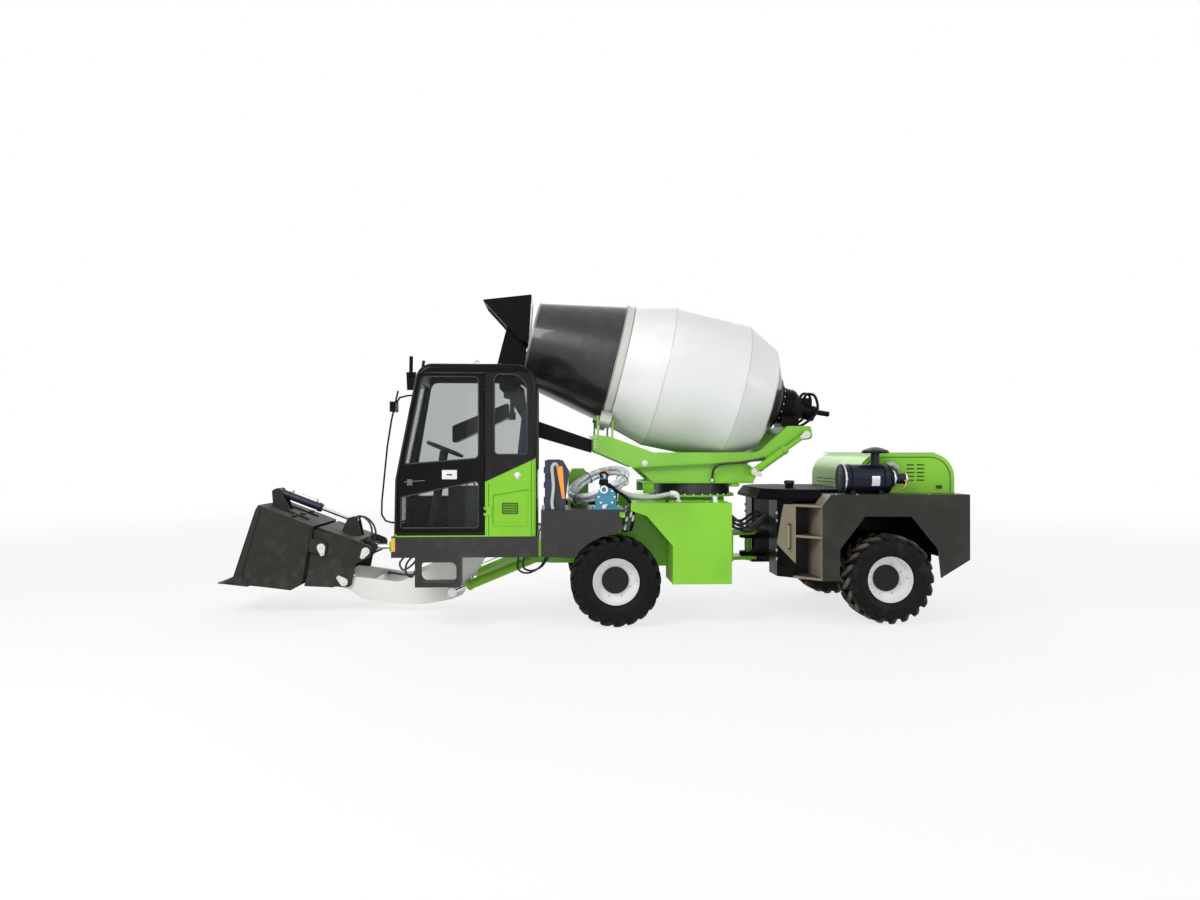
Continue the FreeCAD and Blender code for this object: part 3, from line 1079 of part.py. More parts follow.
def hood():
    """Engine hood, hollow, with air slots in its sides and front."""
    wall = HOOD_WALL
    side = [(HOOD_FRONT, BODY_TOP), (HOOD_FRONT, HOOD_TOP, HOOD_ROUND), (BODY_REAR, HOOD_TOP, HOOD_ROUND),
            (BODY_REAR, BODY_TOP)]
    inner = [(HOOD_FRONT + wall, BODY_TOP - 1), (HOOD_FRONT + wall, HOOD_TOP - wall, HOOD_ROUND - wall),
             (BODY_REAR - wall, HOOD_TOP - wall, HOOD_ROUND - wall), (BODY_REAR - wall, BODY_TOP - 1)]
    shell = side_plate(side, -HOOD_HALF, HOOD_HALF).cut(side_plate(inner, -HOOD_HALF + wall, HOOD_HALF - wall))
    slots = []
    for x in LOUVRE_COLUMNS:
        for row in range(LOUVRE_ROWS):
            low = LOUVRE_LOW + row * LOUVRE_PITCH
            slots.append(box(x, x + LOUVRE[0], -HOOD_HALF - 1, HOOD_HALF + 1, low, low + LOUVRE[1]))
    for z in (1425, 1465):
        slots.append(box(HOOD_FRONT - 1, HOOD_FRONT + wall + 1, -600, 600, z, z + 12))
    return shell.cut(slots)


def engine_block():
    return box(HOOD_FRONT + 50, BODY_REAR - 160, -340, 340, REAR_FRAME_TOP, HOOD_TOP - 175)


def air_filter():
    """Filter canister on the left deck with its outlet into the hood and its rain cap."""
    y = -FILTER_Y
    z = BODY_TOP + FILTER_RADIUS + 12
    body = turned([(0, 0), (0, FILTER_RADIUS), (511, FILTER_RADIUS), (511, 85), (560, 75), (600, 55), (710, 55),
                   (710, 0)], V(2700, y, z), V(1, 0, 0))
    elbow = bar(V(3370, y, z), V(3370, -HOOD_HALF, z), 40)
    feet = [box(x, x + 40, y - 90, y + 90, BODY_TOP, z - FILTER_RADIUS + 60) for x in (2790, 3090)]
    stem = bar(V(3077, y, z + 100), V(3077, y, 1780), 45)
    cap = turned([(0, 0), (0, 125), (12, 143), (32, 132), (52, 80), (65, 30), (65, 0)], V(3077, y, 1770), Z_AXIS)
    return fuse(body, elbow, *feet, stem, cap)


def rear_weight():
    """Cast weight across the rear, with the towing jaw under it and a pocket to drop the pin through."""
    front = BODY_REAR - 80
    block = box(front, BODY_REAR, -DECK_HALF, DECK_HALF, 640, BODY_TOP)
    top_plate = box(front, BODY_REAR, -80, 80, JAW_HIGH - JAW_PLATE, JAW_HIGH)
    low_plate = box(front, BODY_REAR, -80, 80, JAW_LOW, JAW_LOW + JAW_PLATE)
    back = box(front, front + JAW_PLATE, -80, 80, JAW_LOW, 640)
    pocket = box(front + JAW_PLATE, BODY_REAR + 1, -70, 70, JAW_HIGH, 860)
    hole = bar(V(TOW_PIN_X, 0, JAW_LOW - 1), V(TOW_PIN_X, 0, JAW_HIGH + 1), TOW_PIN_RADIUS)
    return fuse(block.cut(pocket), top_plate, low_plate, back).cut(hole)


# ---------------------------------------------------------------- all sub-parts
def build():
    parts = {"front_chassis": front_chassis(), "front_axle": axle(FRONT_AXLE_X),
             "front_fenders": front_fenders(), "water_tanks": water_tanks(),
             "cab_base": cab_base().cut([lamp for name, lamp in lamps().items() if name != "rear_lamps"]),
             "cab_seat": cab_seat(), "cab_controls": cab_controls(), "cab_mirror": cab_mirror(),
             "water_pump": water_pump(), "suction_hose": suction_hose(), "control_box": control_box(),
             "oil_tank": oil_tank(), "slew_base": slew_base()}
    parts.update(cab_pieces())
    parts.update(lamps())
    parts["boom"] = boom()
    parts["lift_barrels"], parts["lift_rods"] = lift_cylinders()
    parts["tilt_barrel"], parts["tilt_rod"] = tilt_cylinder()
    parts["gate_barrel"], parts["gate_rod"] = gate_cylinder()
    parts["bucket_carrier"] = bucket_carrier()
    parts["bucket_shell"] = bucket_shell()
    parts.update({"turntable": turntable(), "drum_cradle": drum_cradle(), "cradle_cylinders": cradle_cylinders(),
                  "feed_arm": feed_arm(), "feed_hopper": feed_hopper(), "discharge_chute": discharge_chute(),
                  "drum_drive": drum_drive(), "drum": drum()})
    parts.update({"rear_chassis": rear_chassis(), "rear_axle": axle(REAR_AXLE_X), "rear_panels": rear_panels(),
                  "step_tanks": step_tanks(), "nose_deck": nose_deck(), "hood": hood(),
                  "engine_block": engine_block(), "air_filter": air_filter(), "rear_weight": rear_weight()})
    for end, x in (("front", FRONT_AXLE_X), ("rear", REAR_AXLE_X)):
        for name, side in (("left", -1), ("right", 1)):
            parts[f"{end}_{name}_rim"] = rim(x, side)
    parts.update(tyres())
    return parts


os.makedirs("parts", exist_ok=True)
for node, shape in build().items():
    shape.exportStep(f"parts/{node}.step")
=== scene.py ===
"""Dresses an articulated self-loading concrete mixer: paint, tyres, glass, seals, hoses and fasteners."""
import math

import bmesh
import bpy
from mathutils import Matrix, Vector, geometry


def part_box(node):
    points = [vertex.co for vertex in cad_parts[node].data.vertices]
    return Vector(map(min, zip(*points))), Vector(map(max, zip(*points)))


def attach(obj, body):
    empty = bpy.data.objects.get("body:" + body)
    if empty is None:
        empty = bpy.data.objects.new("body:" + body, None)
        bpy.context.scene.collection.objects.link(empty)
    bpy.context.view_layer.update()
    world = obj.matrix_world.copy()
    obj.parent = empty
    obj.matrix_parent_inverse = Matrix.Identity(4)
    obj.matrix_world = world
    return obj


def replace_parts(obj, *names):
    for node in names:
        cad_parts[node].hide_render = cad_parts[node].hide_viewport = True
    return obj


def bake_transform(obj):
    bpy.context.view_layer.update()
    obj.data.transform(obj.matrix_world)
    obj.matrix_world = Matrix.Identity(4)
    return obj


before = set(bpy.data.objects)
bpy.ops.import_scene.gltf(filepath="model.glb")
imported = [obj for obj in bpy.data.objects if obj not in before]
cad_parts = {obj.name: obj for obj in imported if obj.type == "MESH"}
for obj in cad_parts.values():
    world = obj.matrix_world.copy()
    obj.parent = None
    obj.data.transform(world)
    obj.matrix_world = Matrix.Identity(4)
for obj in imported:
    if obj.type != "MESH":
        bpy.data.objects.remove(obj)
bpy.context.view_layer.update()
X, Y, Z = Vector((1, 0, 0)), Vector((0, 1, 0)), Vector((0, 0, 1))
LEFT = Vector((0, -1, 0))


# ---- Studio
# A pale floor that fades into a white surround, lit by a broad soft key lamp from the upper left,
# weaker ones from the right, from low down in front and from the far side, and by the surround itself.
scene = bpy.context.scene
scene.view_settings.view_transform = "Standard"


class Value:
    """A number that varies over a surface. Sums and products of it become Math nodes."""

    def __init__(self, finish, socket):
        self.finish = finish
        self.socket = socket

    def math(self, operation, *others):
        node = self.finish.add("ShaderNodeMath", {"operation": operation}, self, *others)
        return Value(self.finish, node.outputs[0])

    def __rsub__(self, other):
        return self.finish.number(other).math("SUBTRACT", self)

    def __abs__(self):
        return self.math("ABSOLUTE")

    def fade(self, low, high):
        """0 at low, 1 at high, smooth between."""
        node = self.finish.add("ShaderNodeMapRange", {"interpolation_type": "SMOOTHSTEP"}, self, low, high,
                               0.0, 1.0)
        return Value(self.finish, node.outputs[0])


for sign, operation in {"add": "ADD", "radd": "ADD", "mul": "MULTIPLY", "rmul": "MULTIPLY",
                        "sub": "SUBTRACT", "gt": "GREATER_THAN", "lt": "LESS_THAN"}.items():
    setattr(Value, f"__{sign}__", lambda self, other, operation=operation: self.math(operation, other))


class Finish:
    """A material and the nodes that give its surface."""

    def __init__(self, name, colour, roughness, metallic=0.0, coat=0.0, shine=0.5):
        self.material = bpy.data.materials.new(name)
        self.material.use_nodes = True
        self.nodes = self.material.node_tree.nodes
        self.links = self.material.node_tree.links
        self.shader = self.nodes["Principled BSDF"]
        self.put("Base Color", (*colour, 1))
        self.put("Roughness", roughness)
        self.put("Metallic", metallic)
        self.put("Coat Weight", coat)
        self.put("Specular IOR Level", shine)
        self.material.diffuse_color = (*colour, 1)

    def add(self, kind, settings=None, *values, **named):
        """A node of any kind: its settings first, then what its sockets hold, in order or by name."""
        node = self.nodes.new(kind)
        for key, setting in (settings or {}).items():
            setattr(node, key, setting)
        for i, value in enumerate(values):
            self.join(node.inputs[i], value)
        for key, value in named.items():
            self.join(node.inputs[key.replace("_", " ")], value)
        return node

    def join(self, socket, value):
        if isinstance(value, Value):
            self.links.new(value.socket, socket)
        elif isinstance(value, bpy.types.NodeSocket):
            self.links.new(value, socket)
        elif value is not None:
            socket.default_value = value

    def put(self, name, value):
        self.join(self.shader.inputs[name], value)

    def look(self, colour, roughness):
        self.put("Base Color", colour)
        self.put("Roughness", roughness)

    def number(self, amount):
        node = self.add("ShaderNodeValue")
        node.outputs[0].default_value = amount
        return Value(self, node.outputs[0])

    def surface(self, shader):
        """Puts another shader in the place of the plain one."""
        self.links.new(shader.outputs[0], self.nodes["Material Output"].inputs["Surface"])

    def place(self):
        """The point on the surface, in metres in the machine's frame."""
        return self.add("ShaderNodeTexCoord").outputs["Object"]

    def along(self, direction):
        """Distance of the surface point along a direction, in metres."""
        node = self.add("ShaderNodeVectorMath", {"operation": "DOT_PRODUCT"}, self.place(), tuple(direction))
        return Value(self, node.outputs["Value"])

    def noise(self, scale, detail=3.0):
        node = self.add("ShaderNodeTexNoise", None, Vector=self.place(), Scale=scale, Detail=detail)
        return Value(self, node.outputs["Fac"])

    def mix(self, low, high, amount):
        """Colour that goes from low to high with amount."""
        node = self.add("ShaderNodeMix", {"data_type": "RGBA"})
        self.join(node.inputs[0], amount)
        for socket, colour in ((node.inputs[6], low), (node.inputs[7], high)):
            self.join(socket, (*colour, 1.0) if isinstance(colour, tuple) and len(colour) == 3 else colour)
        return node.outputs[2]

    def relief(self, height, depth, softened=None):
        """Bump of a given depth in metres, over softened edges where a radius is given."""
        bump = self.add("ShaderNodeBump", None, Strength=1.0, Distance=depth, Height=height)
        if softened:
            edge = self.add("ShaderNodeBevel", {"samples": 4}, softened)
            self.links.new(edge.outputs[0], bump.inputs["Normal"])
        self.put("Normal", bump.outputs[0])


def studio_floor():
    bpy.ops.mesh.primitive_plane_add(size=120, location=(0, 0, -0.001))
    floor = bpy.context.object
    floor.name = "studio_floor"
    pale = Finish("studio_floor", (0.86, 0.86, 0.86), 0.6)
    rays = pale.add("ShaderNodeLightPath")
    glow = pale.add("ShaderNodeEmission", None, (1, 1, 1, 1), 1.0)
    distance = pale.add("ShaderNodeVectorMath", {"operation": "LENGTH"}, pale.place())
    fade = Value(pale, distance.outputs["Value"]).fade(5.0, 22.0)
    camera, glossy, through = (Value(pale, rays.outputs[f"Is {kind} Ray"])
                               for kind in ("Camera", "Glossy", "Transmission"))
    seen = camera.math("MAXIMUM", glossy).math("MAXIMUM", through)
    share = seen * (fade * 0.25 + 0.75) + (1 - seen) * 0.30
    pale.surface(pale.add("ShaderNodeMixShader", None, share, pale.shader.outputs[0], glow.outputs[0]))
    floor.data.materials.append(pale.material)


def surround():
    world = bpy.data.worlds.new("surround")
    world.use_nodes = True
    scene.world = world
    nodes = world.node_tree.nodes
    links = world.node_tree.links
    back = nodes["Background"]
    white = nodes.new("ShaderNodeBackground")
    for node, colour, strength in ((back, (0.95, 0.97, 1, 1), 0.42), (white, (1, 1, 1, 1), 1)):
        node.inputs["Color"].default_value = colour
        node.inputs["Strength"].default_value = strength
    rays = nodes.new("ShaderNodeLightPath")
    seen = rays.outputs["Is Camera Ray"]
    for name in ("Is Glossy Ray", "Is Transmission Ray"):
        most = nodes.new("ShaderNodeMath")
        most.operation = "MAXIMUM"
        links.new(seen, most.inputs[0])
        links.new(rays.outputs[name], most.inputs[1])
        seen = most.outputs[0]
    mix = nodes.new("ShaderNodeMixShader")
    links.new(seen, mix.inputs[0])
    links.new(back.outputs[0], mix.inputs[1])
    links.new(white.outputs[0], mix.inputs[2])
    links.new(mix.outputs[0], nodes["World Output"].inputs["Surface"])


def lamp(name, size, power, place, target):
    light = bpy.data.lights.new(name, "AREA")
    light.size = size
    light.energy = power
    holder = bpy.data.objects.new(name, light)
    bpy.context.collection.objects.link(holder)
    holder.location = place
    holder.rotation_euler = (Vector(target) - Vector(place)).to_track_quat("-Z", "Y").to_euler()


studio_floor()
surround()
lamp("key_lamp", 5.0, 860, (-6.0, -8.0, 8.5), (0, 0, 1.4))
lamp("side_lamp", 6.0, 240, (8.5, -6.0, 5.0), (1, 0, 1.4))
lamp("low_lamp", 5.0, 85, (0.5, -9.0, 0.5), (0.3, 0, 1.8))
lamp("far_lamp", 7.0, 360, (1.0, 9.0, 7.0), (0, 0, 1.4))

view = bpy.data.cameras.new("view")
view.sensor_width = 36.0
view.lens = 25.545
view.shift_y = 0.0017
view_holder = bpy.data.objects.new("view", view)
bpy.context.collection.objects.link(view_holder)
view_holder.location = (-0.2665, -9.7295, 1.784)
view_holder.rotation_euler = (math.radians(90), 0, math.radians(-3))
scene.camera = view_holder


# ---- Paint
# Sprayed enamel over welded plate and cast parts: slightly uneven in tone, a fine orange-peel
# surface, softened edges, and a film of dust that is heavier low down.
DUST = (0.42, 0.39, 0.34)
PEEL = 0.00012


def shade(colour, amount):
    """A lighter or darker tone of a colour."""
    return tuple(min(1.0, c * amount) for c in colour)


def paint(name, colour, roughness=0.32, coat=0.3, tone=0.06, dust=0.12, shine=0.4):
    finish = Finish(name, colour, roughness, coat=coat, shine=shine)
    patches = finish.noise(1.3, 4.0)
    grime = finish.noise(9.0, 6.0)
    coloured = finish.mix(shade(colour, 1 - tone * 2), shade(colour, 1 + tone), patches.fade(0.3, 0.7))
    low = 1 - finish.along(Z).fade(0.1, 1.1)
    film = (low * 0.7 + 0.3) * grime.fade(0.45, 0.8) * dust
    finish.look(finish.mix(coloured, DUST, film), grime * 0.12 + (roughness - 0.06) + film * 0.8)
    finish.put("Coat Roughness", 0.12)
    finish.relief(finish.noise(260, 2), PEEL, 0.005)
    return finish.material


LIME = (0.215, 0.545, 0.032)
green = paint("lime_enamel", LIME, coat=0.05, shine=0.25)
dark_grey = paint("dark_grey_enamel", (0.036, 0.034, 0.034), 0.45, 0.03, dust=0.10, shine=0.15)
black = paint("black_enamel", (0.0045, 0.0040, 0.0045), 0.32, 0.03, dust=0.012, shine=0.07)
cream = paint("cream_enamel", (0.76, 0.76, 0.72), 0.35, 0.25)
charcoal = paint("bucket_charcoal", (0.032, 0.030, 0.026), 0.5, 0.0, tone=0.10, dust=0.09, shine=0.16)
navy = paint("dark_blue_enamel", (0.012, 0.013, 0.045), 0.35, 0.2, dust=0.06, shine=0.3)
teal = paint("teal_enamel", (0.010, 0.190, 0.300), 0.35, 0.3)
white = paint("white_enamel", (0.86, 0.86, 0.86), 0.30, 0.35)
chassis_black = paint("chassis_black", (0.0045, 0.0040, 0.0045), 0.6, 0.0, dust=0.012, shine=0.01)


def dress(material, *nodes):
    """Gives CAD pieces a material in place of the plain one they came with."""
    for node in nodes:
        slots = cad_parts[node].data.materials
        slots.clear()
        slots.append(material)


dress(green, "front_chassis", "front_axle", "water_tanks", "oil_tank", "hood", "rear_axle", "tilt_barrel",
      "lift_barrels", "cradle_cylinders")
dress(dark_grey, "front_fenders", "cab_base")
dress(chassis_black, "rear_chassis")
dress(black, "cab_roof", "cab_mirror", "cab_door", "feed_arm", "feed_hopper", "discharge_chute",
      "drum_drive", "step_tanks", "rear_weight", "engine_block")
dress(cream, "boom")
dress(charcoal, "bucket_carrier", "bucket_shell")
dress(navy, "gate_barrel", "control_box")
dress(teal, "water_pump")


# ---- Tyres and wheels
# Wide lugged tyres on dished one-piece rims. The casing is ribbed rubber with two rows of slanted
# lugs that wrap over the shoulder; the rims are sprayed white, with plated nuts and a black hub,
# its recess darkened further by painted shade.
class Shape:
    """Simple closed forms gathered in one mesh, in metres."""

    def __init__(self):
        self.mesh = bmesh.new()

    def rings(self, rings, closed=False):
        """Skin over rings of points that all have the same count, capped unless it closes on itself."""
        rows = [[self.mesh.verts.new(point) for point in ring] for ring in rings]
        for low, high in zip(rows, rows[1:] + rows[:1] if closed else rows[1:]):
            for k in range(len(low)):
                self.mesh.faces.new([low[k - 1], low[k], high[k], high[k - 1]])
        if not closed:
            self.mesh.faces.new(rows[0][::-1])
            self.mesh.faces.new(rows[-1])

    def soften(self, edges, edge):
        """Chamfers edges, where a width is given."""
        if edge:
            geom = list(dict.fromkeys(edges))
            bmesh.ops.bevel(self.mesh, geom=geom, offset=edge, segments=2, affect="EDGES")

    def lathe(self, profile, start, axis, steps=32):
        """Turned ring: profile points are (distance along the axis, radius)."""
        axis = Vector(axis).normalized()
        across = axis.orthogonal().normalized()
        up = axis.cross(across)
        start = Vector(start)
        rings = [circle(start + axis * along, across, up, radius, steps) for along, radius in profile]
        self.rings(rings, closed=True)

    def turned(self, profile, start, axis, steps=24, bore=0.001):
        """Turned form whose profile runs in to the bore at both ends."""
        self.lathe([(profile[0][0], bore), *profile, (profile[-1][0], bore)], start, axis, steps)

    def hoop(self, place, axis, half, inset, low, high, steps):
        """Band round a turned part, from the low radius up to the high one."""
        profile = [(-half, low), (inset - half, high), (half - inset, high), (half, low)]
        self.lathe(profile, place, axis, steps)

    def block(self, low, high, edge=0.0):
        """Box with small chamfers."""
        made = bmesh.ops.create_cube(self.mesh, size=1.0)["verts"]
        size = Vector(high) - Vector(low)
        middle = (Vector(high) + Vector(low)) / 2
        for vertex in made:
            vertex.co = vertex.co * size + middle
        self.soften([line for vertex in made for line in vertex.link_edges], edge)

    def plate(self, outline, y0, y1, edge=0.0):
        """Plate with an outline in X and Z, from y0 to y1."""
        rows = [[self.mesh.verts.new((x, y, z)) for x, z in outline] for y in (y0, y1)]
        made = [self.mesh.faces.new(rows[0]), self.mesh.faces.new(rows[1][::-1])]
        for k in range(len(outline)):
            self.mesh.faces.new([rows[0][k - 1], rows[1][k - 1], rows[1][k], rows[0][k]])
        self.soften([line for face in made for line in face.edges], edge)

    def plate_on(self, outline, face, side, thick, edge=0.0):
        """Plate that stands out by its thickness from a face at Y that looks to side."""
        y0, y1 = sorted((face - side * 0.001, face + side * thick))
        self.plate(outline, y0, y1, edge)

    def tube(self, points, radius, steps=12, smooth=6):
        """Round bar or hose through points, on a smooth line where smooth is above 1."""
        path = smooth_line(points, smooth) if smooth > 1 else [Vector(p) for p in points]
        rings = []
        side = (path[1] - path[0]).orthogonal().normalized()
        for i, point in enumerate(path):
            way = (path[min(i + 1, len(path) - 1)] - path[max(i - 1, 0)]).normalized()
            side = (side - way * side.dot(way)).normalized()
            rings.append(circle(point, side, way.cross(side), radius, steps))
        self.rings(rings)

    def bar(self, points, radius, steps=8):
        """Bar or bead that turns sharply at its points."""
        self.tube(points, radius, steps, smooth=1)

    def hex_bolt(self, place, way, radius, height):
        """Hexagon head on a washer."""
        self.turned([(-0.001, radius * 1.35), (0.002, radius * 1.35)], place, way, 16)
        self.turned([(0, radius), (height * 0.8, radius), (height, radius * 0.85)], place, way, 6)

    def bolts(self, places, way, radius, height):
        for place in places:
            self.hex_bolt(place, way, radius, height)


def circle(middle, across, up, radius, count, first=0.0):
    """Points evenly round a middle; first is the share of a step from across to the first of them."""
    turns = [math.tau * (k + first) / count for k in range(count)]
    return [Vector(middle) + (across * math.cos(turn) + up * math.sin(turn)) * radius for turn in turns]


def smooth_line(points, steps):
    """Points of a rounded line through the given ones."""
    points = [Vector(point) for point in points]
    ends = [points[0] * 2 - points[1]] + points + [points[-1] * 2 - points[-2]]
    line = []
    for i in range(1, len(ends) - 2):
        a, b, c, d = ends[i - 1:i + 3]
        for k in range(steps):
            t = k / steps
            line.append((b * 2 + (c - a) * t + (a * 2 - b * 5 + c * 4 - d) * t * t
                         + (b * 3 - a - c * 3 + d) * t * t * t) / 2)
    line.append(points[-1])
    return line


def piece(name, shape, body, slot, material, smooth=32):
    """A finished object from a shape: it rides on a body and takes its look from the material."""
    bmesh.ops.recalc_face_normals(shape.mesh, faces=shape.mesh.faces)
    mesh = bpy.data.meshes.new(name)
    shape.mesh.to_mesh(mesh)
    shape.mesh.free()
    mesh.shade_smooth()
    mesh.set_sharp_from_angle(angle=math.radians(smooth))
    mesh.materials.append(material)
    thing = bpy.data.objects.new(name, mesh)
    bpy.context.collection.objects.link(thing)
    if body:
        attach(thing, body)
    return thing


def rubber(name, colour, roughness, dust):
    finish = Finish(name, colour, roughness)
    dirt = finish.noise(5.0, 6.0)
    film = dirt.fade(0.35, 0.75) * dust
    finish.look(finish.mix(colour, (0.16, 0.145, 0.125), film), dirt * 0.14 + (roughness - 0.05))
    finish.relief(finish.noise(140), 0.0006, 0.004)
    return finish.material


def plated(name, colour=(0.62, 0.62, 0.63), roughness=0.3):
    finish = Finish(name, colour, roughness, metallic=1.0)
    streak = finish.noise(60.0, 4.0)
    finish.look(finish.mix(shade(colour, 0.8), colour, streak), streak * 0.2 + (roughness - 0.08))
    finish.relief(streak, 0.0002, 0.0015)
    return finish.material


def from_axle(finish):
    """Distance of the surface point from the nearer axle, in the X-Z plane."""
    to_front = finish.along(X) - AXLES["front"]
    to_rear = finish.along(X) - AXLES["rear"]
    near = abs(to_front).math("MINIMUM", abs(to_rear))
    up = finish.along(Z) - AXLE_Z
    return (near * near + up * up).math("SQRT")


def tread_rubber():
    finish = Finish("tyre_rubber", (0.006, 0.006, 0.006), 0.6, shine=0.12)
    radius = from_axle(finish)
    dirt = finish.noise(6.0, 6.0)
    rear = finish.along(X) > 1.8
    # Partly dust, partly painted highlight: lug tops turn light brown, much more on the rear tyres than on
    # the front ones, which lie in shade.
    lug_top_dust_and_highlight = radius.fade(0.425, 0.458) * (rear * 0.75 + 0.12)
    film = lug_top_dust_and_highlight * dirt.fade(0.25, 0.65) + dirt.fade(0.5, 0.85) * (rear * 0.10 + 0.04)
    finish.look(finish.mix((0.0055, 0.0055, 0.0055), (0.150, 0.130, 0.100), film), dirt * 0.14 + 0.55)
    finish.relief(finish.noise(140), 0.0006, 0.004)
    return finish.material


ZINC = "chrome", plated("zinc")
RIM = 0.250
AXLE_Z = 0.465
AXLES = {"front": 0.35, "rear": 3.19}
WHEEL_Y = 0.955
LUGS = 20
tyre_rubber = tread_rubber()


def tyre_shape():
    """Tyre about the origin, its axle along Y."""
    shape = Shape()
    wall = [(0.150, RIM - 0.010), (0.166, RIM + 0.004), (0.178, RIM + 0.022), (0.186, RIM + 0.050)]
    for k in range(3):
        low = RIM + 0.056 + 0.016 * k
        wall += [(0.1885, low), (0.1915, low + 0.004), (0.1915, low + 0.009), (0.1890, low + 0.012)]
    wall += [(0.1915, 0.352), (0.1890, 0.378), (0.1800, 0.398), (0.1640, 0.412), (0.140, 0.419),
             (0.080, 0.423)]
    profile = [(-y, r) for y, r in wall] + wall[::-1]
    profile += [(0.14, RIM - 0.012), (-0.14, RIM - 0.012)]
    shape.lathe(profile, (0, 0, 0), Y, 96)
    path = [(-0.014, -0.50, 0.462), (0.040, -0.36, 0.4635), (0.095, -0.12, 0.464), (0.145, 0.14, 0.4615),
            (0.172, 0.28, 0.452), (0.191, 0.37, 0.425), (0.194, 0.40, 0.392), (0.192, 0.41, 0.372)]
    pitch = math.tau / LUGS
    for side in (-1, 1):
        for k in range(LUGS):
            middle = pitch * (k + side / 4)
            rings = []
            for y, shift, top in path:
                turn = middle + pitch * shift
                foot, foot_y, wide = (0.405, y, 0.205) if top > 0.44 else (top - 0.022, min(y, 0.176), 0.185)
                ring = []
                for share, radius, across in ((-1.12, foot, foot_y), (-0.86, top - 0.005, y), (-0.70, top, y),
                                              (0.70, top, y), (0.86, top - 0.005, y), (1.12, foot, foot_y)):
                    at = turn + pitch * wide * share
                    ring.append((radius * math.sin(at), side * across, radius * math.cos(at)))
                rings.append(ring)
            shape.rings(rings)
    return shape


rim_white = Finish("rim_enamel", (0.80, 0.80, 0.80), 0.32, shine=0.2)
dirt = rim_white.noise(7.0, 5.0).fade(0.45, 0.8) * 0.22
rim_colour = rim_white.mix((0.80, 0.80, 0.80), (0.38, 0.33, 0.28), dirt)
# Partly painted shade: inside 0.14 m from the axle the rim is near-black, the black hub together with the
# shade in its recess.
rim_white.look(rim_white.mix((0.008, 0.008, 0.008), rim_colour, from_axle(rim_white) > 0.1405),
               dirt * 0.8 + 0.3)
rim_white.relief(rim_white.noise(220.0, 2.0), 0.0002, 0.003)
wheels = [(f"{end}_{name}_", x, side) for end, x in AXLES.items()
          for name, side in (("left", -1), ("right", 1))]
for wheel, x, side in wheels:
    shape = tyre_shape()
    shape.mesh.transform(Matrix.Translation((x, side * WHEEL_Y, AXLE_Z)) @ Matrix.Scale(-side, 4, Y))
    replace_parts(piece(wheel + "tread", shape, wheel + "wheel", "tyre", tyre_rubber), wheel + "tyre")
    dress(rim_white.material, wheel + "rim")
for wheel, x, side in wheels:
    face = side * (WHEEL_Y + 0.025)
    shape = Shape()
    shape.bolts(circle((x, face, AXLE_Z), Z, X, 0.170, 8, 0.5), (0, side, 0), 0.009, 0.010)
    shape.tube([(x + 0.215, face, AXLE_Z), (x + 0.224, face + side * 0.03, AXLE_Z),
                (x + 0.222, face + side * 0.06, AXLE_Z)], 0.004, 8)
    piece(wheel + "nuts", shape, wheel + "wheel", *ZINC)


# ---- Cab
# Pressed and welded steel shell: black above, lime green below a slanting line, with a framed door,
# rubber-bedded tinted panes, hinges, a flush latch plate and a bar handle.
def two_tone(name, split):
    """Green below and black above, where split gives the finish a value above 0 for green."""
    finish = Finish(name, LIME, 0.3, coat=0.04, shine=0.15)
    grime = finish.noise(9.0, 6.0)
    tone = finish.mix(shade(LIME, 0.9), LIME, finish.noise(1.3, 4.0).fade(0.3, 0.7))
    both = finish.mix((0.0060, 0.0055, 0.0060), tone, split(finish) > 0)
    finish.look(finish.mix(both, DUST, grime.fade(0.5, 0.85) * 0.02), grime * 0.12 + 0.26)
    finish.relief(finish.noise(260, 2), PEEL, 0.006)
    return finish.material


def left_split(finish):
    """Green under a slanting line between the pillars, and along the sill."""
    slant = 1.487 + (finish.along(X) + 0.971) * 0.4665
    panel = (slant - finish.along(Z)) * (finish.along(X) > -0.982)
    sill = 0.966 - finish.along(Z)
    return panel.math("MAXIMUM", sill) * (finish.along(Y) < -1.125)


splits = {
    "cab_left_side": left_split,
    "cab_right_side": lambda finish: (1.250 - finish.along(Z)) * (finish.along(Y) > -0.345),
    "cab_front": lambda finish: (1.000 - finish.along(Z)) * (finish.along(X) < -1.857),
    "cab_rear": lambda finish: (1.560 - finish.along(Z)) * (finish.along(X) > -0.476)}
for node, split in splits.items():
    dress(two_tone(node + "_enamel", split), node)

tint = Finish("tinted_pane", (0.62, 0.74, 0.72), 0.03, coat=0.0)
clear = tint.add("ShaderNodeBsdfTransparent", None, (0.8, 0.812, 0.808, 1))
shine = tint.add("ShaderNodeBsdfGlossy", None, (0.9, 0.95, 0.95, 1), 0.02)
facing = tint.add("ShaderNodeLayerWeight", None, 0.25)
grime = tint.noise(3.0, 5.0).fade(0.5, 0.9)
share = Value(tint, facing.outputs["Fresnel"]) * 0.5 + grime * 0.008
tint.surface(tint.add("ShaderNodeMixShader", None, share, clear.outputs[0], shine.outputs[0]))
dress(tint.material, "cab_glass", "cab_door_glass")


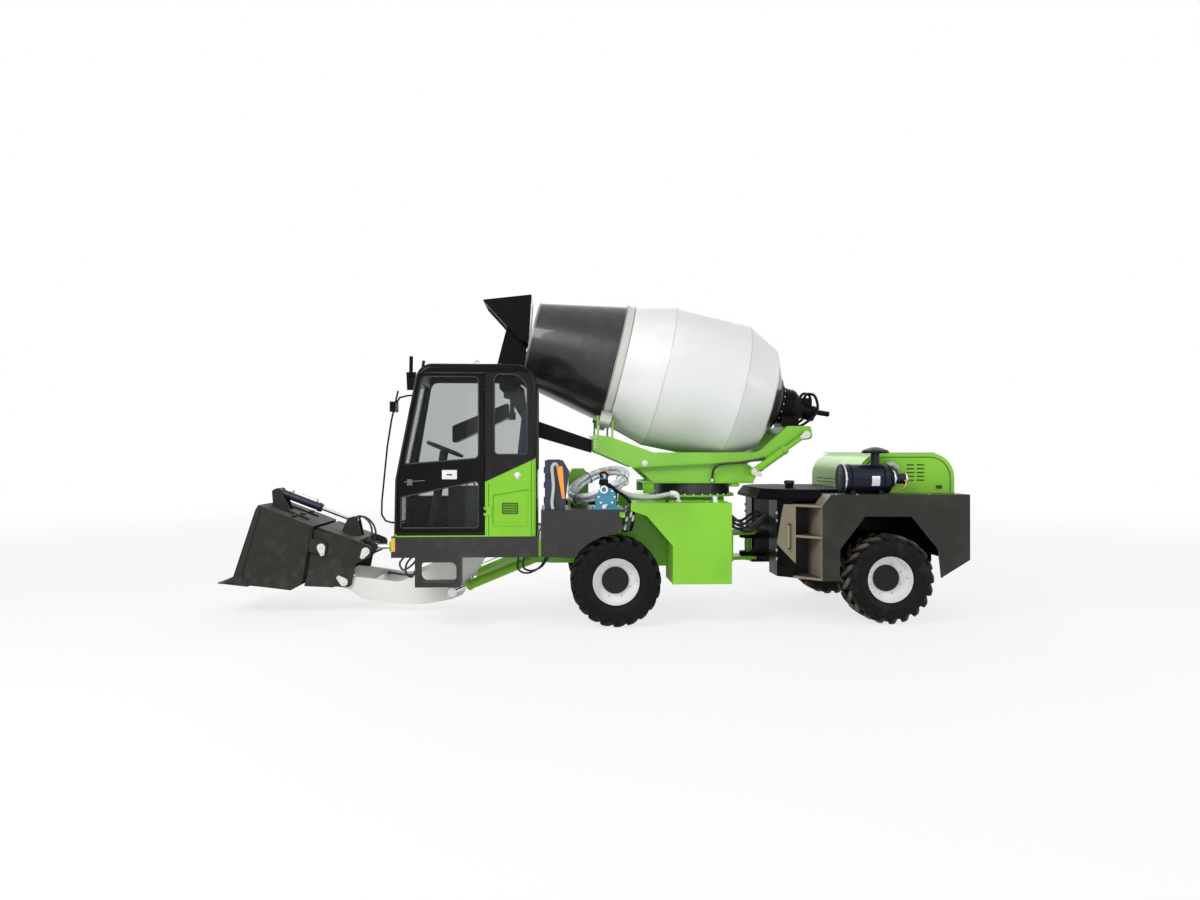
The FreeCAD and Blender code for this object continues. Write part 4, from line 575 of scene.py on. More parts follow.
def pane_edges(node):
    """The outline and the outward direction of every pane in a node."""
    source = bmesh.new()
    source.from_mesh(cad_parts[node].data)
    bmesh.ops.remove_doubles(source, verts=source.verts, dist=0.0001)
    left = dict.fromkeys(source.verts)
    panes = []
    while left:
        island = [left.popitem()[0]]
        for vertex in island:
            for edge in vertex.link_edges:
                other = edge.other_vert(vertex)
                if other in left:
                    del left[other]
                    island.append(other)
        widest = max((face for vertex in island for face in vertex.link_faces),
                     key=lambda face: face.calc_area())
        out = widest.normal.copy()
        middle = sum((vertex.co for vertex in island), Vector()) / len(island)
        if out.dot(middle - CAB_MIDDLE) < 0:
            out.negate()
        across = out.orthogonal().normalized()
        up = out.cross(across)
        flat = [Vector(((vertex.co - middle).dot(across), (vertex.co - middle).dot(up))) for vertex in island]
        rim = [flat[i] for i in geometry.convex_hull_2d(flat)]
        panes.append(([middle + across * a + up * b for a, b in rim], out))
    source.free()
    return panes


def gaskets(name, node, body):
    """Rubber beads round the window openings, on the outer face."""
    shape = Shape()
    for rim, out in pane_edges(node):
        path = [point + out * 0.024 for point in rim]
        shape.bar(path + path[:2], 0.0075)
    piece(name, shape, body, *SEAL)


CAB_MIDDLE = Vector((-1.1, -0.735, 1.8))
SEAL = "black_plastic", rubber("seal_rubber", (0.012, 0.012, 0.013), 0.5, 0.1)
gaskets("door_gaskets", "cab_door_glass", "cab_door")
gaskets("cab_gaskets", "cab_glass", "front_frame")


def oblong(x0, z0, x1, z1):
    """Outline of a level oblong in X and Z."""
    return [(x0, z0), (x1, z0), (x1, z1), (x0, z1)]


SIDE = -1.150
shape = Shape()
shape.plate_on([(-1.398, 1.516), (-1.394, 1.512), (-1.253, 1.512), (-1.249, 1.516), (-1.249, 1.600),
                (-1.253, 1.604), (-1.394, 1.604), (-1.398, 1.600)], SIDE, -1, 0.005, 0.0015)
shape.plate_on(oblong(-1.378, 1.528, -1.269, 1.588), SIDE - 0.005, -1, 0.004, 0.002)
piece("door_latch_plate", shape, "cab_door", "cream_paint", cream)
shape = Shape()
shape.plate_on(oblong(-1.352, 1.548, -1.295, 1.567), SIDE - 0.009, -1, 0.0025, 0.002)
shape.tube([(-1.771, SIDE - 0.008, 1.486), (-1.66, SIDE - 0.0085, 1.493), (-1.566, SIDE - 0.008, 1.499)],
           0.0055, 10)
shape.block((-1.745, SIDE - 0.008, 1.450), (-1.690, SIDE + 0.001, 1.512), 0.004)
shape.turned([(0, 0.015), (0.010, 0.013)], (-1.716, SIDE, 1.466), LEFT, 20)
piece("door_handle", shape, "cab_door", "black_plastic", plated("dark_plate", (0.16, 0.16, 0.17), 0.25))

shape = Shape()
shape.turned([(0, 0.031), (0.003, 0.031), (0.005, 0.024), (0.012, 0.020), (0.0135, 0.012)],
             (-0.646, SIDE, 1.553), LEFT, 28)
shape.block((-0.662, SIDE - 0.006, 1.510), (-0.630, SIDE + 0.001, 1.540), 0.004)
piece("side_knob", shape, "front_frame", "cream_paint", cream)
shape = Shape()
for x in (-0.509, -0.9335):
    shape.bar([(x, SIDE, 0.945), (x, SIDE, 1.70 if x > -0.8 else 1.468)], 0.0028, 6)
shape.bar([(-0.966, SIDE, 1.4895), (-0.475, SIDE, 1.7185)], 0.0030, 6)
shape.bar([(-1.868, SIDE, 0.968), (-0.985, SIDE, 0.968)], 0.0026, 6)
shape.block((-1.002, SIDE + 0.052, 0.968), (-0.950, SIDE + 0.060, 2.540), 0.002)
for x0, z0, x1, z1 in ((-0.800, 1.163, -0.643, 1.172), (-0.800, 1.265, -0.643, 1.274),
                       (-0.800, 1.163, -0.791, 1.274), (-0.652, 1.163, -0.643, 1.274)):
    shape.block((x0, SIDE + 0.005, z0), (x1, SIDE + 0.014, z1), 0.002)
piece("cab_seams", shape, "front_frame", *SEAL)
shape = Shape()
roof_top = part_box("cab_roof")[1][2]
eye = circle((-1.091, -0.73, roof_top + 0.046), Z, X, 0.022, 16)
shape.bar(eye + eye[:1], 0.006)
shape.turned([(0, 0.020), (0.012, 0.016), (0.028, 0.009)], (-1.091, -0.73, roof_top - 0.002), Z, 20)
piece("roof_eye", shape, "front_frame", *ZINC)


def lens(name, colour):
    finish = Finish(name, colour, 0.12, coat=0.6)
    ribs = (finish.along(Y) * 500.0).math("SINE") * (finish.along(Z) * 500.0).math("SINE")
    finish.relief(ribs, 0.0008, 0.004)
    finish.put("Base Color", finish.mix(shade(colour, 0.7), colour, finish.noise(40)))
    return finish.material


dress(lens("amber_lens", (0.85, 0.45, 0.03)), "corner_lamps")
dress(lens("clear_lens", (0.75, 0.77, 0.78)), "head_lamps")
dress(lens("red_lens", (0.50, 0.012, 0.010)), "rear_lamps")


# ---- Seat and controls
# A sprung operator's seat: two foam pads in woven blue cloth with sewn channels, on a bellows
# pedestal, and a moulded steering wheel and console.
def cloth(name, colour):
    finish = Finish(name, colour, 0.85)
    warp, weft, rise = ((finish.along(way) * 2600).math("SINE") for way in (X, Y, Z))
    worn = finish.noise(6.0, 5.0)
    finish.look(finish.mix(shade(colour, 0.7), shade(colour, 1.2), worn), worn * 0.1 + 0.8)
    finish.relief(warp * weft + rise * weft, 0.0006)
    return finish.material


SWELL = 0.010


def stuffed(name, shape):
    """Foam pad: its shape swells under cloth pressure, up to a limit."""
    pad = piece(name, shape, "front_frame", "seat_fabric", seat_cloth, smooth=180)
    remesh = pad.modifiers.new("even", "REMESH")
    remesh.mode = "VOXEL"
    remesh.voxel_size = 0.008
    bpy.context.view_layer.objects.active = pad
    pad.select_set(True)
    bpy.ops.object.modifier_apply(modifier=remesh.name)
    before = [vertex.co.copy() for vertex in pad.data.vertices]
    swell = pad.modifiers.new("swell", "CLOTH")
    swell.settings.use_pressure = True
    swell.settings.uniform_pressure_force = 4.0
    swell.settings.effector_weights.gravity = 0.0
    for step in range(1, 21):
        scene.frame_set(step)
    shown = pad.evaluated_get(bpy.context.evaluated_depsgraph_get())
    after = [vertex.co.copy() for vertex in shown.data.vertices]
    pad.modifiers.remove(swell)
    for vertex, start, stop in zip(pad.data.vertices, before, after):
        move = stop - start
        vertex.co = start + move * min(1.0, SWELL / max(move.length, 1e-9))
    scene.frame_set(1)
    pad.select_set(False)
    finer = pad.modifiers.new("finer", "SUBSURF")
    finer.levels = 1
    finer.render_levels = 1
    pad.data.shade_smooth()
    return pad


seat_cloth = cloth("seat_cloth", (0.020, 0.085, 0.190))
shape = Shape()
shape.block((-1.118, -0.968, 1.266), (-0.640, -0.502, 1.366), 0.03)
cushion = stuffed("seat_cushion", shape)
shape = Shape()
shape.plate([(-0.688, 1.395), (-0.622, 1.390), (-0.548, 2.210), (-0.600, 2.222)], -0.962, -0.508, 0.024)
stuffed("seat_back", shape)
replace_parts(cushion, "cab_seat")
shape = Shape()
for k in range(5):
    x = -1.04 + 0.09 * k
    shape.tube([(x, -0.95, 1.3735), (x, -0.735, 1.3765), (x, -0.52, 1.3735)], 0.0028, 6)
for k in range(7):
    up = 1.50 + 0.10 * k
    x = -0.682 + (up - 1.395) * 0.106
    shape.tube([(x - 0.004, -0.945, up), (x - 0.008, -0.735, up), (x - 0.004, -0.525, up)], 0.0028, 6)
piece("seat_seams", shape, "front_frame", "seat_fabric", SEAL[1])
shape = Shape()
for k in range(7):
    low = 0.955 + 0.038 * k
    shape.block((-1.005 + 0.008 * (k % 2), -0.875, low), (-0.715 - 0.008 * (k % 2), -0.595, low + 0.036),
                0.010)
shape.block((-1.06, -0.92, 1.225), (-0.68, -0.55, 1.262), 0.008)
shape.block((-1.02, -0.89, 0.938), (-0.70, -0.58, 0.957), 0.004)
for y in (-1.005, -0.465):
    shape.tube([(-0.66, y, 1.50), (-0.70, y, 1.56), (-0.98, y, 1.575)], 0.022, 12)
piece("seat_base", shape, "front_frame", *SEAL)
dress(rubber("moulded_plastic", (0.020, 0.020, 0.022), 0.55, 0.1), "cab_controls")
shape = Shape()
for x in (-1.30, -1.22, -1.14):
    shape.tube([(x, -0.43, 1.42), (x - 0.02, -0.43, 1.50), (x - 0.03, -0.43, 1.58)], 0.008, 10)
    shape.lathe([(0, 0.001), (0, 0.012), (0.02, 0.019), (0.04, 0.017), (0.05, 0.001)],
                (x - 0.03, -0.43, 1.575), (-0.15, 0, 1), 16)
piece("cab_levers", shape, "front_frame", *SEAL)


# ---- Boom, bucket and cylinders
# Cream box arms, a charcoal clamshell bucket, green and blue cylinder barrels with plated rods,
# screwed glands, pale keeper plates on the pins and short hydraulic hoses.
def keeper(shape, x, z, y, side, lean, size=0.045):
    """Tear-drop keeper plate with its bolt, on the face at y that looks to side."""
    outline = []
    for k in range(13):
        turn = math.radians(lean - 110 + 220 * k / 12)
        outline.append((x + size * math.cos(turn), z + size * math.sin(turn)))
    tip = math.radians(lean + 180)
    for turn in (0.20, -0.20):
        outline.append((x + size * 2.1 * math.cos(tip - turn), z + size * 2.1 * math.sin(tip - turn)))
    shape.plate_on(outline, y, side, 0.006, 0.0015)
    face = y + side * 0.006
    shape.turned([(0, size * 0.42), (0.004, size * 0.36)], (x, face, z), (0, side, 0), 20)
    bolt = (x + size * 1.55 * math.cos(tip), face, z + size * 1.55 * math.sin(tip))
    shape.hex_bolt(bolt, (0, side, 0), 0.009, 0.006)


dress(plated("hard_chrome", (0.72, 0.72, 0.74), 0.12), "lift_rods", "tilt_rod", "gate_rod")
MIDDLE = 0.300
keepers = {"bucket_shell": ((-2.845, 0.731, 0.500, 100),), "boom_arm": ((-1.409, 0.228, 0.440, 20),),
           "bucket_carrier": ((-2.605, 0.345, 0.470, -40), (-2.367, 0.682, 0.470, 60))}
for body, places in keepers.items():
    shape = Shape()
    for x, z, half, lean in places:
        for side in (-1, 1):
            keeper(shape, x, z, MIDDLE + side * half, side, lean)
    piece(body + "_keepers", shape, body, "cream_paint", cream)

shape = Shape()
for side in (-1, 1):
    face = MIDDLE + side * 0.500
    for outline in ([(-3.548, 1.165), (-3.500, 1.150), (-3.700, 0.430), (-3.762, 0.452)],
                    [(-2.985, 0.960), (-2.950, 0.945), (-3.045, 0.350), (-3.078, 0.372)],
                    [(-3.762, 0.440), (-3.700, 0.430), (-3.640, 0.336), (-3.880, 0.352)]):
        shape.plate_on(outline, face, side, 0.009, 0.003)
    places = [(-3.79 + 0.045 * k, face + side * 0.009, 0.372) for k in range(4)]
    shape.bolts(places, (0, side, 0), 0.010, 0.008)
shape.bolts([(-3.800, -0.14 + 0.11 * k, 0.349) for k in range(9)], (0.1, 0, 1), 0.014, 0.008)
for y in (-0.05, 0.30, 0.65):
    shape.plate([(-3.20, 1.073), (-3.17, 1.061), (-3.16, 1.078), (-3.19, 1.090)], y - 0.06, y + 0.06, 0.003)
for y in (0.10, 0.50):
    shape.plate([(-3.46, 1.177), (-3.06, 1.018), (-3.06, 1.034), (-3.46, 1.193)], y - 0.008, y + 0.008, 0.002)
piece("bucket_stiffeners", shape, "bucket_shell", "bucket_paint", charcoal)
shape = Shape()
for side in (-1, 1):
    for outline in ([(-2.74, 0.86), (-2.52, 0.80), (-2.36, 0.745), (-2.37, 0.730), (-2.52, 0.783),
                     (-2.74, 0.842)],
                    [(-2.52, 0.53), (-2.36, 0.60), (-2.365, 0.615), (-2.53, 0.547)]):
        shape.plate_on(outline, MIDDLE + side * 0.470, side, 0.007, 0.002)
piece("carrier_stiffeners", shape, "bucket_carrier", "bucket_paint", charcoal)


def gland(shape, place, way, radius, bore, length=0.05):
    """Screwed gland with a wiper lip at the mouth of a barrel."""
    shape.turned([(-length, radius), (-0.012, radius), (-0.006, radius - 0.004), (0, radius - 0.008),
                  (0.004, radius - 0.016)], place, way, 28, bore)


FITTING = [(0, 0.014), (0.020, 0.014), (0.020, 0.010), (0.034, 0.010)]


cylinders = {"lift_barrels": ((-0.450, 0.620), (-1.409, 0.228), 0.860, 0.052, (-0.195, 0.795), green),
             "tilt_barrel": ((-1.180, 0.700), (-2.367, 0.682), 1.010, 0.058, (0.300,), green),
             "bucket_shell": ((-3.455, 1.326), (-2.594, 0.990), 0.530, 0.045, (0.300,), navy)}
for body, (base, head, reach, radius, places, finish) in cylinders.items():
    shape = Shape()
    fittings = Shape()
    way = Vector((head[0] - base[0], 0, head[1] - base[1])).normalized()
    lift = Vector((-way.z, 0, way.x))
    if lift.z < 0:
        lift.negate()
    for y in places:
        start = Vector((base[0], y, base[1]))
        gland(shape, start + way * (reach - 0.002), way, radius + 0.007, radius * 0.55)
        gland(shape, start + way * 0.140, way, radius + 0.005, radius * 0.55, 0.022)
        for along in (0.150, reach - 0.085):
            fittings.turned(FITTING, start + way * along + lift * (radius - 0.002), lift, 6, 0.004)
        high = start + lift * (radius + 0.028)
        fittings.tube([high + way * along for along in (reach - 0.085, reach - 0.16, reach * 0.5, 0.20)],
                      0.007, 8, smooth=3)
    piece(body + "_glands", shape, body, "navy_paint" if finish == navy else "cream_paint", finish)
    piece(body + "_pipes", fittings, body, *ZINC)


def hoses(name, body, *routes):
    """Clipped hydraulic hoses with a crimped ferrule at each end."""
    shape = Shape()
    for route in routes:
        shape.tube(route, 0.011, 12, smooth=8)
        for end, beside in (route[:2], route[:-3:-1]):
            ferrule = [(-0.004, 0.003), (-0.004, 0.01485), (0.035, 0.01485), (0.038, 0.003)]
            shape.lathe(ferrule, end, Vector(beside) - Vector(end), 12)
    piece(name, shape, body, *RUBBER_HOSE)


RUBBER_HOSE = "black_plastic", rubber("hose_rubber", (0.016, 0.016, 0.017), 0.5, 0.2)
hoses("gate_hoses", "bucket_carrier",
      [(-2.62, 0.255, 1.005), (-2.52, 0.25, 1.045), (-2.42, 0.24, 0.98), (-2.38, 0.22, 0.86),
       (-2.42, 0.20, 0.76)],
      [(-2.60, 0.345, 1.005), (-2.50, 0.35, 1.030), (-2.41, 0.36, 0.96), (-2.37, 0.38, 0.85),
       (-2.40, 0.40, 0.75)])
hoses("boom_hoses", "boom_arm",
      *([(-1.20, MIDDLE + side * 0.375, 0.52), (-1.45, MIDDLE + side * 0.365, 0.475),
         (-1.75, MIDDLE + side * 0.37, 0.36), (-2.00, MIDDLE + side * 0.365, 0.30),
         (-2.28, MIDDLE + side * 0.37, 0.33)] for side in (-1, 1)))
hoses("lift_hoses", "front_frame",
      [(-0.36, -0.30, 0.60), (-0.42, -0.31, 0.52), (-0.53, -0.305, 0.475), (-0.62, -0.30, 0.52),
       (-0.60, -0.30, 0.70)],
      [(-0.36, -0.27, 0.62), (-0.45, -0.275, 0.50), (-0.58, -0.275, 0.445), (-0.68, -0.27, 0.50),
       (-0.66, -0.27, 0.70)])
hoses("cab_floor_hoses", "front_frame",
      [(-1.77, -0.60, 0.690), (-1.84, -0.61, 0.600), (-1.85, -0.59, 0.500), (-1.78, -0.57, 0.465),
       (-1.70, -0.56, 0.690)],
      [(-1.70, -0.64, 0.690), (-1.78, -0.65, 0.590), (-1.87, -0.64, 0.540), (-1.91, -0.62, 0.610),
       (-1.84, -0.61, 0.700)])


# ---- Deck equipment
# On the left deck: a sheet-steel controller cabinet, a cast water pump with its valve, and a coil of
# clear ribbed suction hose. A pale delivery hose runs from the pump to an elbow on the tank.
orange = paint("orange_enamel", (0.85, 0.30, 0.02), 0.4, 0.2)
PALE_HOSE = "clear_hose", rubber("pale_hose", (0.46, 0.50, 0.50), 0.35, 0.15)
CABINET_FACE = -1.080
DECK = 1.200
shape = Shape()
shape.plate_on([(-0.258, 1.640), (-0.193, 1.640), (-0.170, 1.310), (-0.198, 1.310)], CABINET_FACE, -1,
               0.004, 0.001)
piece("cabinet_panel", shape, "front_frame", "amber_lens", orange)
shape = Shape()
shape.tube([(-0.292, CABINET_FACE - 0.030, DECK + 0.005), (-0.300, CABINET_FACE - 0.032, 1.28),
            (-0.286, CABINET_FACE - 0.028, 1.44), (-0.300, CABINET_FACE - 0.026, 1.62),
            (-0.270, CABINET_FACE - 0.020, 1.665), (-0.245, CABINET_FACE - 0.001, 1.640)], 0.017, 14,
           smooth=8)
piece("cabinet_hose", shape, "front_frame", *PALE_HOSE)
shape = Shape()
shape.block((-0.274, CABINET_FACE - 0.006, 1.225), (-0.226, CABINET_FACE + 0.001, 1.480), 0.003)
for z in (1.30, 1.45, 1.60):
    shape.bar([(-0.376, CABINET_FACE + 0.012, z - 0.03), (-0.376, CABINET_FACE + 0.012, z + 0.03)], 0.009, 10)
shape.turned([(0, 0.022), (0.012, 0.022), (0.026, 0.014)], (-0.330, CABINET_FACE, 1.54), LEFT, 20)
shape.block((-0.352, -1.072, 1.699), (-0.212, -0.868, 1.707), 0.003)
piece("cabinet_trim", shape, "front_frame", *SEAL)

shape = Shape()
shape.turned([(0, 0.040), (0.022, 0.040)], (0.225, -1.128, 1.405), LEFT, 28, 0.024)
piece("pump_port", shape, "front_frame", *ZINC)
shape = Shape()
shape.bolts(circle((0.25, -1.130, 1.33), X, Z, 0.082, 8), LEFT, 0.008, 0.007)
shape.hex_bolt((0.225, -1.132, 1.232), LEFT, 0.016, 0.012)
shape.bolts([(x, -1.105, 1.230) for x in (0.135, 0.362)], Z, 0.010, 0.008)
shape.bar([(0.232, -1.07, 1.520), (0.238, -1.07, 1.555)], 0.014, 12)
piece("pump_bolts", shape, "front_frame", *ZINC)
shape = Shape()
shape.lathe([(-0.022, 0.02), (-0.022, 0.047), (0.0, 0.050), (0.030, 0.046), (0.045, 0.030), (0.045, 0.001)],
            (0.225, -1.060, 1.470), (0.05, 0, 1), 24)
shape.turned([(0, 0.034), (0.055, 0.034), (0.060, 0.026), (0.075, 0.026)], (0.225, -1.060, 1.425),
             (1, 0.15, 0.25))
shape.tube([(0.220, -1.06, 1.510), (0.190, -1.085, 1.560), (0.235, -1.09, 1.575), (0.275, -1.075, 1.540)],
           0.012, 12)
shape.tube([(0.30, -1.055, 1.44), (0.36, -1.05, 1.385), (0.45, -1.055, 1.325), (0.505, -1.06, 1.255),
            (0.528, -1.065, 1.150), (0.520, -1.06, 1.05), (0.50, -1.02, 0.98)], 0.017, 14, smooth=8)
piece("pump_valve", shape, "front_frame", "black_plastic", black)
shape = Shape()
shape.turned([(0, 0.013), (0.035, 0.015), (0.042, 0.010)], (0.255, -1.075, 1.548), (0.3, 0, 1), 16)
piece("pump_tap", shape, "front_frame", "red_lens", orange)

shape = Shape()
shape.tube([(0.330, -0.97, 1.395), (0.400, -0.945, 1.375), (0.520, -0.92, 1.330), (0.640, -0.905, 1.312),
            (0.780, -0.90, 1.318), (0.900, -0.90, 1.340), (0.965, -0.90, 1.348)], 0.026, 18, smooth=8)
piece("delivery_hose", shape, "front_frame", *PALE_HOSE)
shape = Shape()
elbow = ((0.930, 1.346), (0.965, 1.348), (0.992, 1.335), (1.000, 1.300), (1.000, 1.262))
shape.tube([(x, -0.90, z) for x, z in elbow], 0.033, 18)
shape.turned([(0, 0.052), (0.012, 0.052), (0.016, 0.046)], (1.0, -0.90, 1.265), Z)
shape.turned([(0, 0.038), (0.014, 0.038), (0.014, 0.026), (0.056, 0.026), (0.060, 0.022)],
             (1.385, -0.98, 1.265), Z)
piece("tank_elbow", shape, "front_frame", "white_paint", white)
shape = Shape()
for x in (0.94, 1.30):
    for side in (-1, 1):
        shape.turned([(0.026, 0.047), (0.036, 0.050), (0.046, 0.047), (0.050, 0.040)], (x, side, 1.266), Z,
                     28)
for x, z in ((0.885, 1.262), (0.49, 1.196)):
    shape.lathe([(0, 0.001), (0, 0.014), (0.02, 0.018), (0.028, 0.001)], (x, -0.965, z), Z, 16)
shape.tube([(0.447, -1.12, 1.210), (0.560, -1.12, 1.218), (0.655, -1.12, 1.224)], 0.006, 8)
shape.bar([(0.635, -1.12, 1.223), (0.690, -1.12, 1.226)], 0.014, 12)
piece("tank_caps", shape, "front_frame", *SEAL)
shape = Shape()
for x, z in ((0.447, 1.195), (0.500, 1.140), (0.520, 1.100), (0.440, 1.010), (0.455, 1.085)):
    way = (0.25, -0.25, 1)
    shape.turned([(0, 0.019), (0.020, 0.019), (0.020, 0.013), (0.044, 0.013)], (x, -1.09, z), way, 6, 0.004)
    shape.turned([(-0.020, 0.013), (0, 0.013)], (x, -1.09, z), way, 12, 0.003)
piece("valve_fittings", shape, "front_frame", *ZINC)
shape = Shape()
for k, (x, z) in enumerate(((0.447, 1.235), (0.500, 1.180), (0.440, 1.050), (0.455, 1.125))):
    shape.tube([(x, -1.10, z), (x + 0.015, -1.09, z + 0.035), (x + 0.02, -1.02, z + 0.03),
                (x + 0.01, -0.92, z - 0.08), (0.43 + 0.02 * k, -0.80, 0.95)], 0.010, 10)
shape.block((0.428, -1.085, 0.985), (0.492, -1.045, 1.196), 0.004)
piece("valve_hoses", shape, "front_frame", *RUBBER_HOSE)

clear = Finish("clear_ribbed_hose", (0.58, 0.60, 0.60), 0.22, coat=0.4)
lay = clear.noise(26)
clear.look(clear.mix((0.50, 0.55, 0.60), (0.82, 0.84, 0.86), lay.fade(0.3, 0.7)), lay * 0.2 + 0.14)
clear.relief(lay, 0.0015)
RISE = math.radians(23)
LEAN = math.radians(18)
COIL_MIDDLE = Vector((0.190, -0.635, 1.440))
COIL_RADIUS = 0.300
HOSE = 0.050
STRAND = 0.0365
TURNS = 3.7
POINTS_A_TURN = 18
along = Vector((math.cos(RISE), 0, math.sin(RISE)))
lean = Vector((-math.sin(RISE), 0, math.cos(RISE)))
across = lean * math.sin(LEAN) + Y * math.cos(LEAN)
upright = along.cross(across)
route = [Vector((0.296, -1.045, 1.442)), Vector((0.345, -1.010, 1.452)), Vector((0.385, -0.950, 1.462))]
for k in range(int(TURNS * POINTS_A_TURN) + 1):
    turn = math.radians(-38) + math.tau * k / POINTS_A_TURN
    place = math.tau * k / POINTS_A_TURN / 4
    outward = along * math.cos(turn) + across * math.sin(turn)
    reach = COIL_RADIUS + STRAND * math.cos(place)
    route.append(COIL_MIDDLE + outward * reach + upright * (STRAND * math.sin(place)))
line = bpy.data.curves.new("suction_coil", "CURVE")
line.dimensions = "3D"
spline = line.splines.new("NURBS")
spline.points.add(len(route) - 1)
for point, place in zip(spline.points, route):
    point.co = (*place, 1.0)
spline.order_u = 3
spline.use_endpoint_u = True
line.bevel_depth = HOSE / 2
line.bevel_resolution = 6
line.use_fill_caps = True
line.resolution_u = 4
line.materials.append(clear.material)
coil = bpy.data.objects.new("suction_coil", line)
bpy.context.collection.objects.link(coil)
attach(coil, "front_frame")
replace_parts(coil, "suction_hose")
shape = Shape()
shape.turned([(-0.030, 0.029), (0.006, 0.029), (0.006, 0.033), (0.018, 0.033)], route[-1],
             route[-1] - route[-2], bore=0.010)
coupling = piece("hose_coupling", shape, "front_frame", *ZINC)
hose_length = sum((b - a).length for a, b in zip(route, route[1:]))
shape = Shape()
for angle in (100, 215, 325):
    turn = math.radians(angle)
    outward = along * math.cos(turn) + across * math.sin(turn)
    strap = circle(COIL_MIDDLE + outward * COIL_RADIUS, outward, upright, 0.0655, 20)
    shape.bar(strap + strap[:1], 0.005)
piece("coil_straps", shape, "front_frame", *SEAL)


# ---- Drum
# Rolled and welded steel drum: a black front cone, a turned steel running ring and a white body with
# girth welds, black again at the drive end. Two spiral blades show inside the mouth.
MOUTH = Vector((-0.539, 0, 3.0185))
TILT = math.radians(13.66)
DRUM_AXIS = Vector((math.cos(TILT), 0, -math.sin(TILT)))
RING = 1.000


def band(value, at, half):
    """1 at a place along a value, down to 0 at half a width on either side."""
    return 1 - abs(value - at).fade(0.0, half)


drum_paint = Finish("drum_enamel", (0.80, 0.80, 0.80), 0.30, coat=0.3, shine=0.4)
at = drum_paint.along(DRUM_AXIS) - MOUTH.dot(DRUM_AXIS)
patches = drum_paint.noise(1.1, 4.0)
grime = drum_paint.noise(6.0, 6.0)
body = drum_paint.mix((0.70, 0.715, 0.70), (0.80, 0.80, 0.79), patches.fade(0.35, 0.65))
body = drum_paint.mix(body, (0.50, 0.46, 0.38), grime.fade(0.55, 0.85) * 0.16)
seams = band(at, 1.49, 0.012) + band(at, 2.35, 0.012) + band(at, 2.72, 0.010) + band(at, 1.045, 0.010)
body = drum_paint.mix(body, (0.42, 0.42, 0.41), seams * 0.5)
body = drum_paint.mix(body, (0.55, 0.54, 0.49), band(at, RING, 0.040) > 0.12)
cone = drum_paint.mix((0.012, 0.012, 0.013), (0.050, 0.048, 0.046), grime.fade(0.45, 0.85) * 0.6)
cone = drum_paint.mix(cone, (0.16, 0.19, 0.25), at < 0.022)
dark = (at < 0.962).math("MAXIMUM", at > 2.742)
drum_paint.look(drum_paint.mix(body, cone, dark), grime * 0.12 + 0.26)
drum_paint.relief(seams + drum_paint.noise(3.0, 2.0) * 0.7, 0.0022, 0.004)
dress(drum_paint.material, "drum")
shape = Shape()
up = DRUM_AXIS.cross(Y)
for start in (0, math.pi):
    rings = []
    for k in range(73):
        along_axis = 0.03 + 1.15 * k / 72
        turn = start + math.tau * 0.85 * k / 72
        wall = 0.466 + (0.678 - 0.466) * min(along_axis / RING, 1)
        height = 0.05 + 0.15 * min(k / 16, 1)
        out = Y * math.cos(turn) + up * math.sin(turn)
        centre = MOUTH + DRUM_AXIS * along_axis
        rings.append([centre + out * wall, centre + out * wall + DRUM_AXIS * 0.006,
                      centre + out * (wall - height) + DRUM_AXIS * 0.006, centre + out * (wall - height)])
    shape.rings(rings)
piece("drum_blades", shape, "drum", "black_paint", black)
shape = Shape()
for along_axis, radius in ((0.004, 0.479), (0.955, 0.6915), (1.045, 0.7010)):
    shape.hoop(MOUTH + DRUM_AXIS * along_axis, DRUM_AXIS, 0.007, 0.002, radius - 0.004, radius + 0.006, 96)
piece("drum_welds", shape, "drum", "white_paint", plated("weld_steel", (0.42, 0.43, 0.45), 0.4))


# ---- Drum drive, hopper and chute
# Cast gearbox and motor in black on the cradle's rear bracket; a folded sheet hopper with a rolled
# rim over the mouth; an open chute, all in black.
DRIVE = MOUTH + DRUM_AXIS * 2.8865
shape = Shape()
shape.bolts(circle(DRIVE + DRUM_AXIS * 0.040, Y, up, 0.220, 16), DRUM_AXIS, 0.010, 0.012)
shape.bolts(circle(DRIVE + DRUM_AXIS * 0.190, Y, up, 0.185, 8), DRUM_AXIS, 0.009, 0.010)
piece("drive_bolts", shape, "drum_turret", *ZINC)
shape = Shape()
for along_axis in (0.075, 0.115, 0.155):
    shape.hoop(DRIVE + DRUM_AXIS * along_axis, DRUM_AXIS, 0.008, 0.003, 0.203, 0.214, 48)
motor = DRIVE + DRUM_AXIS * 0.36
shape.block(motor + Vector((-0.09, -0.075, 0.060)), motor + Vector((0.07, 0.075, 0.155)), 0.012)
for steps in (((-0.02, -0.04, 0.15), (0.02, -0.05, 0.20), (0.10, -0.08, 0.17), (0.10, -0.16, 0.0),
               (-0.05, -0.20, -0.14), (-0.25, -0.30, -0.22)),
              ((-0.05, 0.04, 0.15), (0.0, 0.05, 0.21), (0.09, 0.09, 0.18), (0.10, 0.17, 0.0),
               (-0.05, 0.20, -0.14), (-0.25, 0.30, -0.22))):
    shape.tube([motor + Vector(step) for step in steps], 0.016)
piece("drive_motor", shape, "drum_turret", "black_plastic", black)

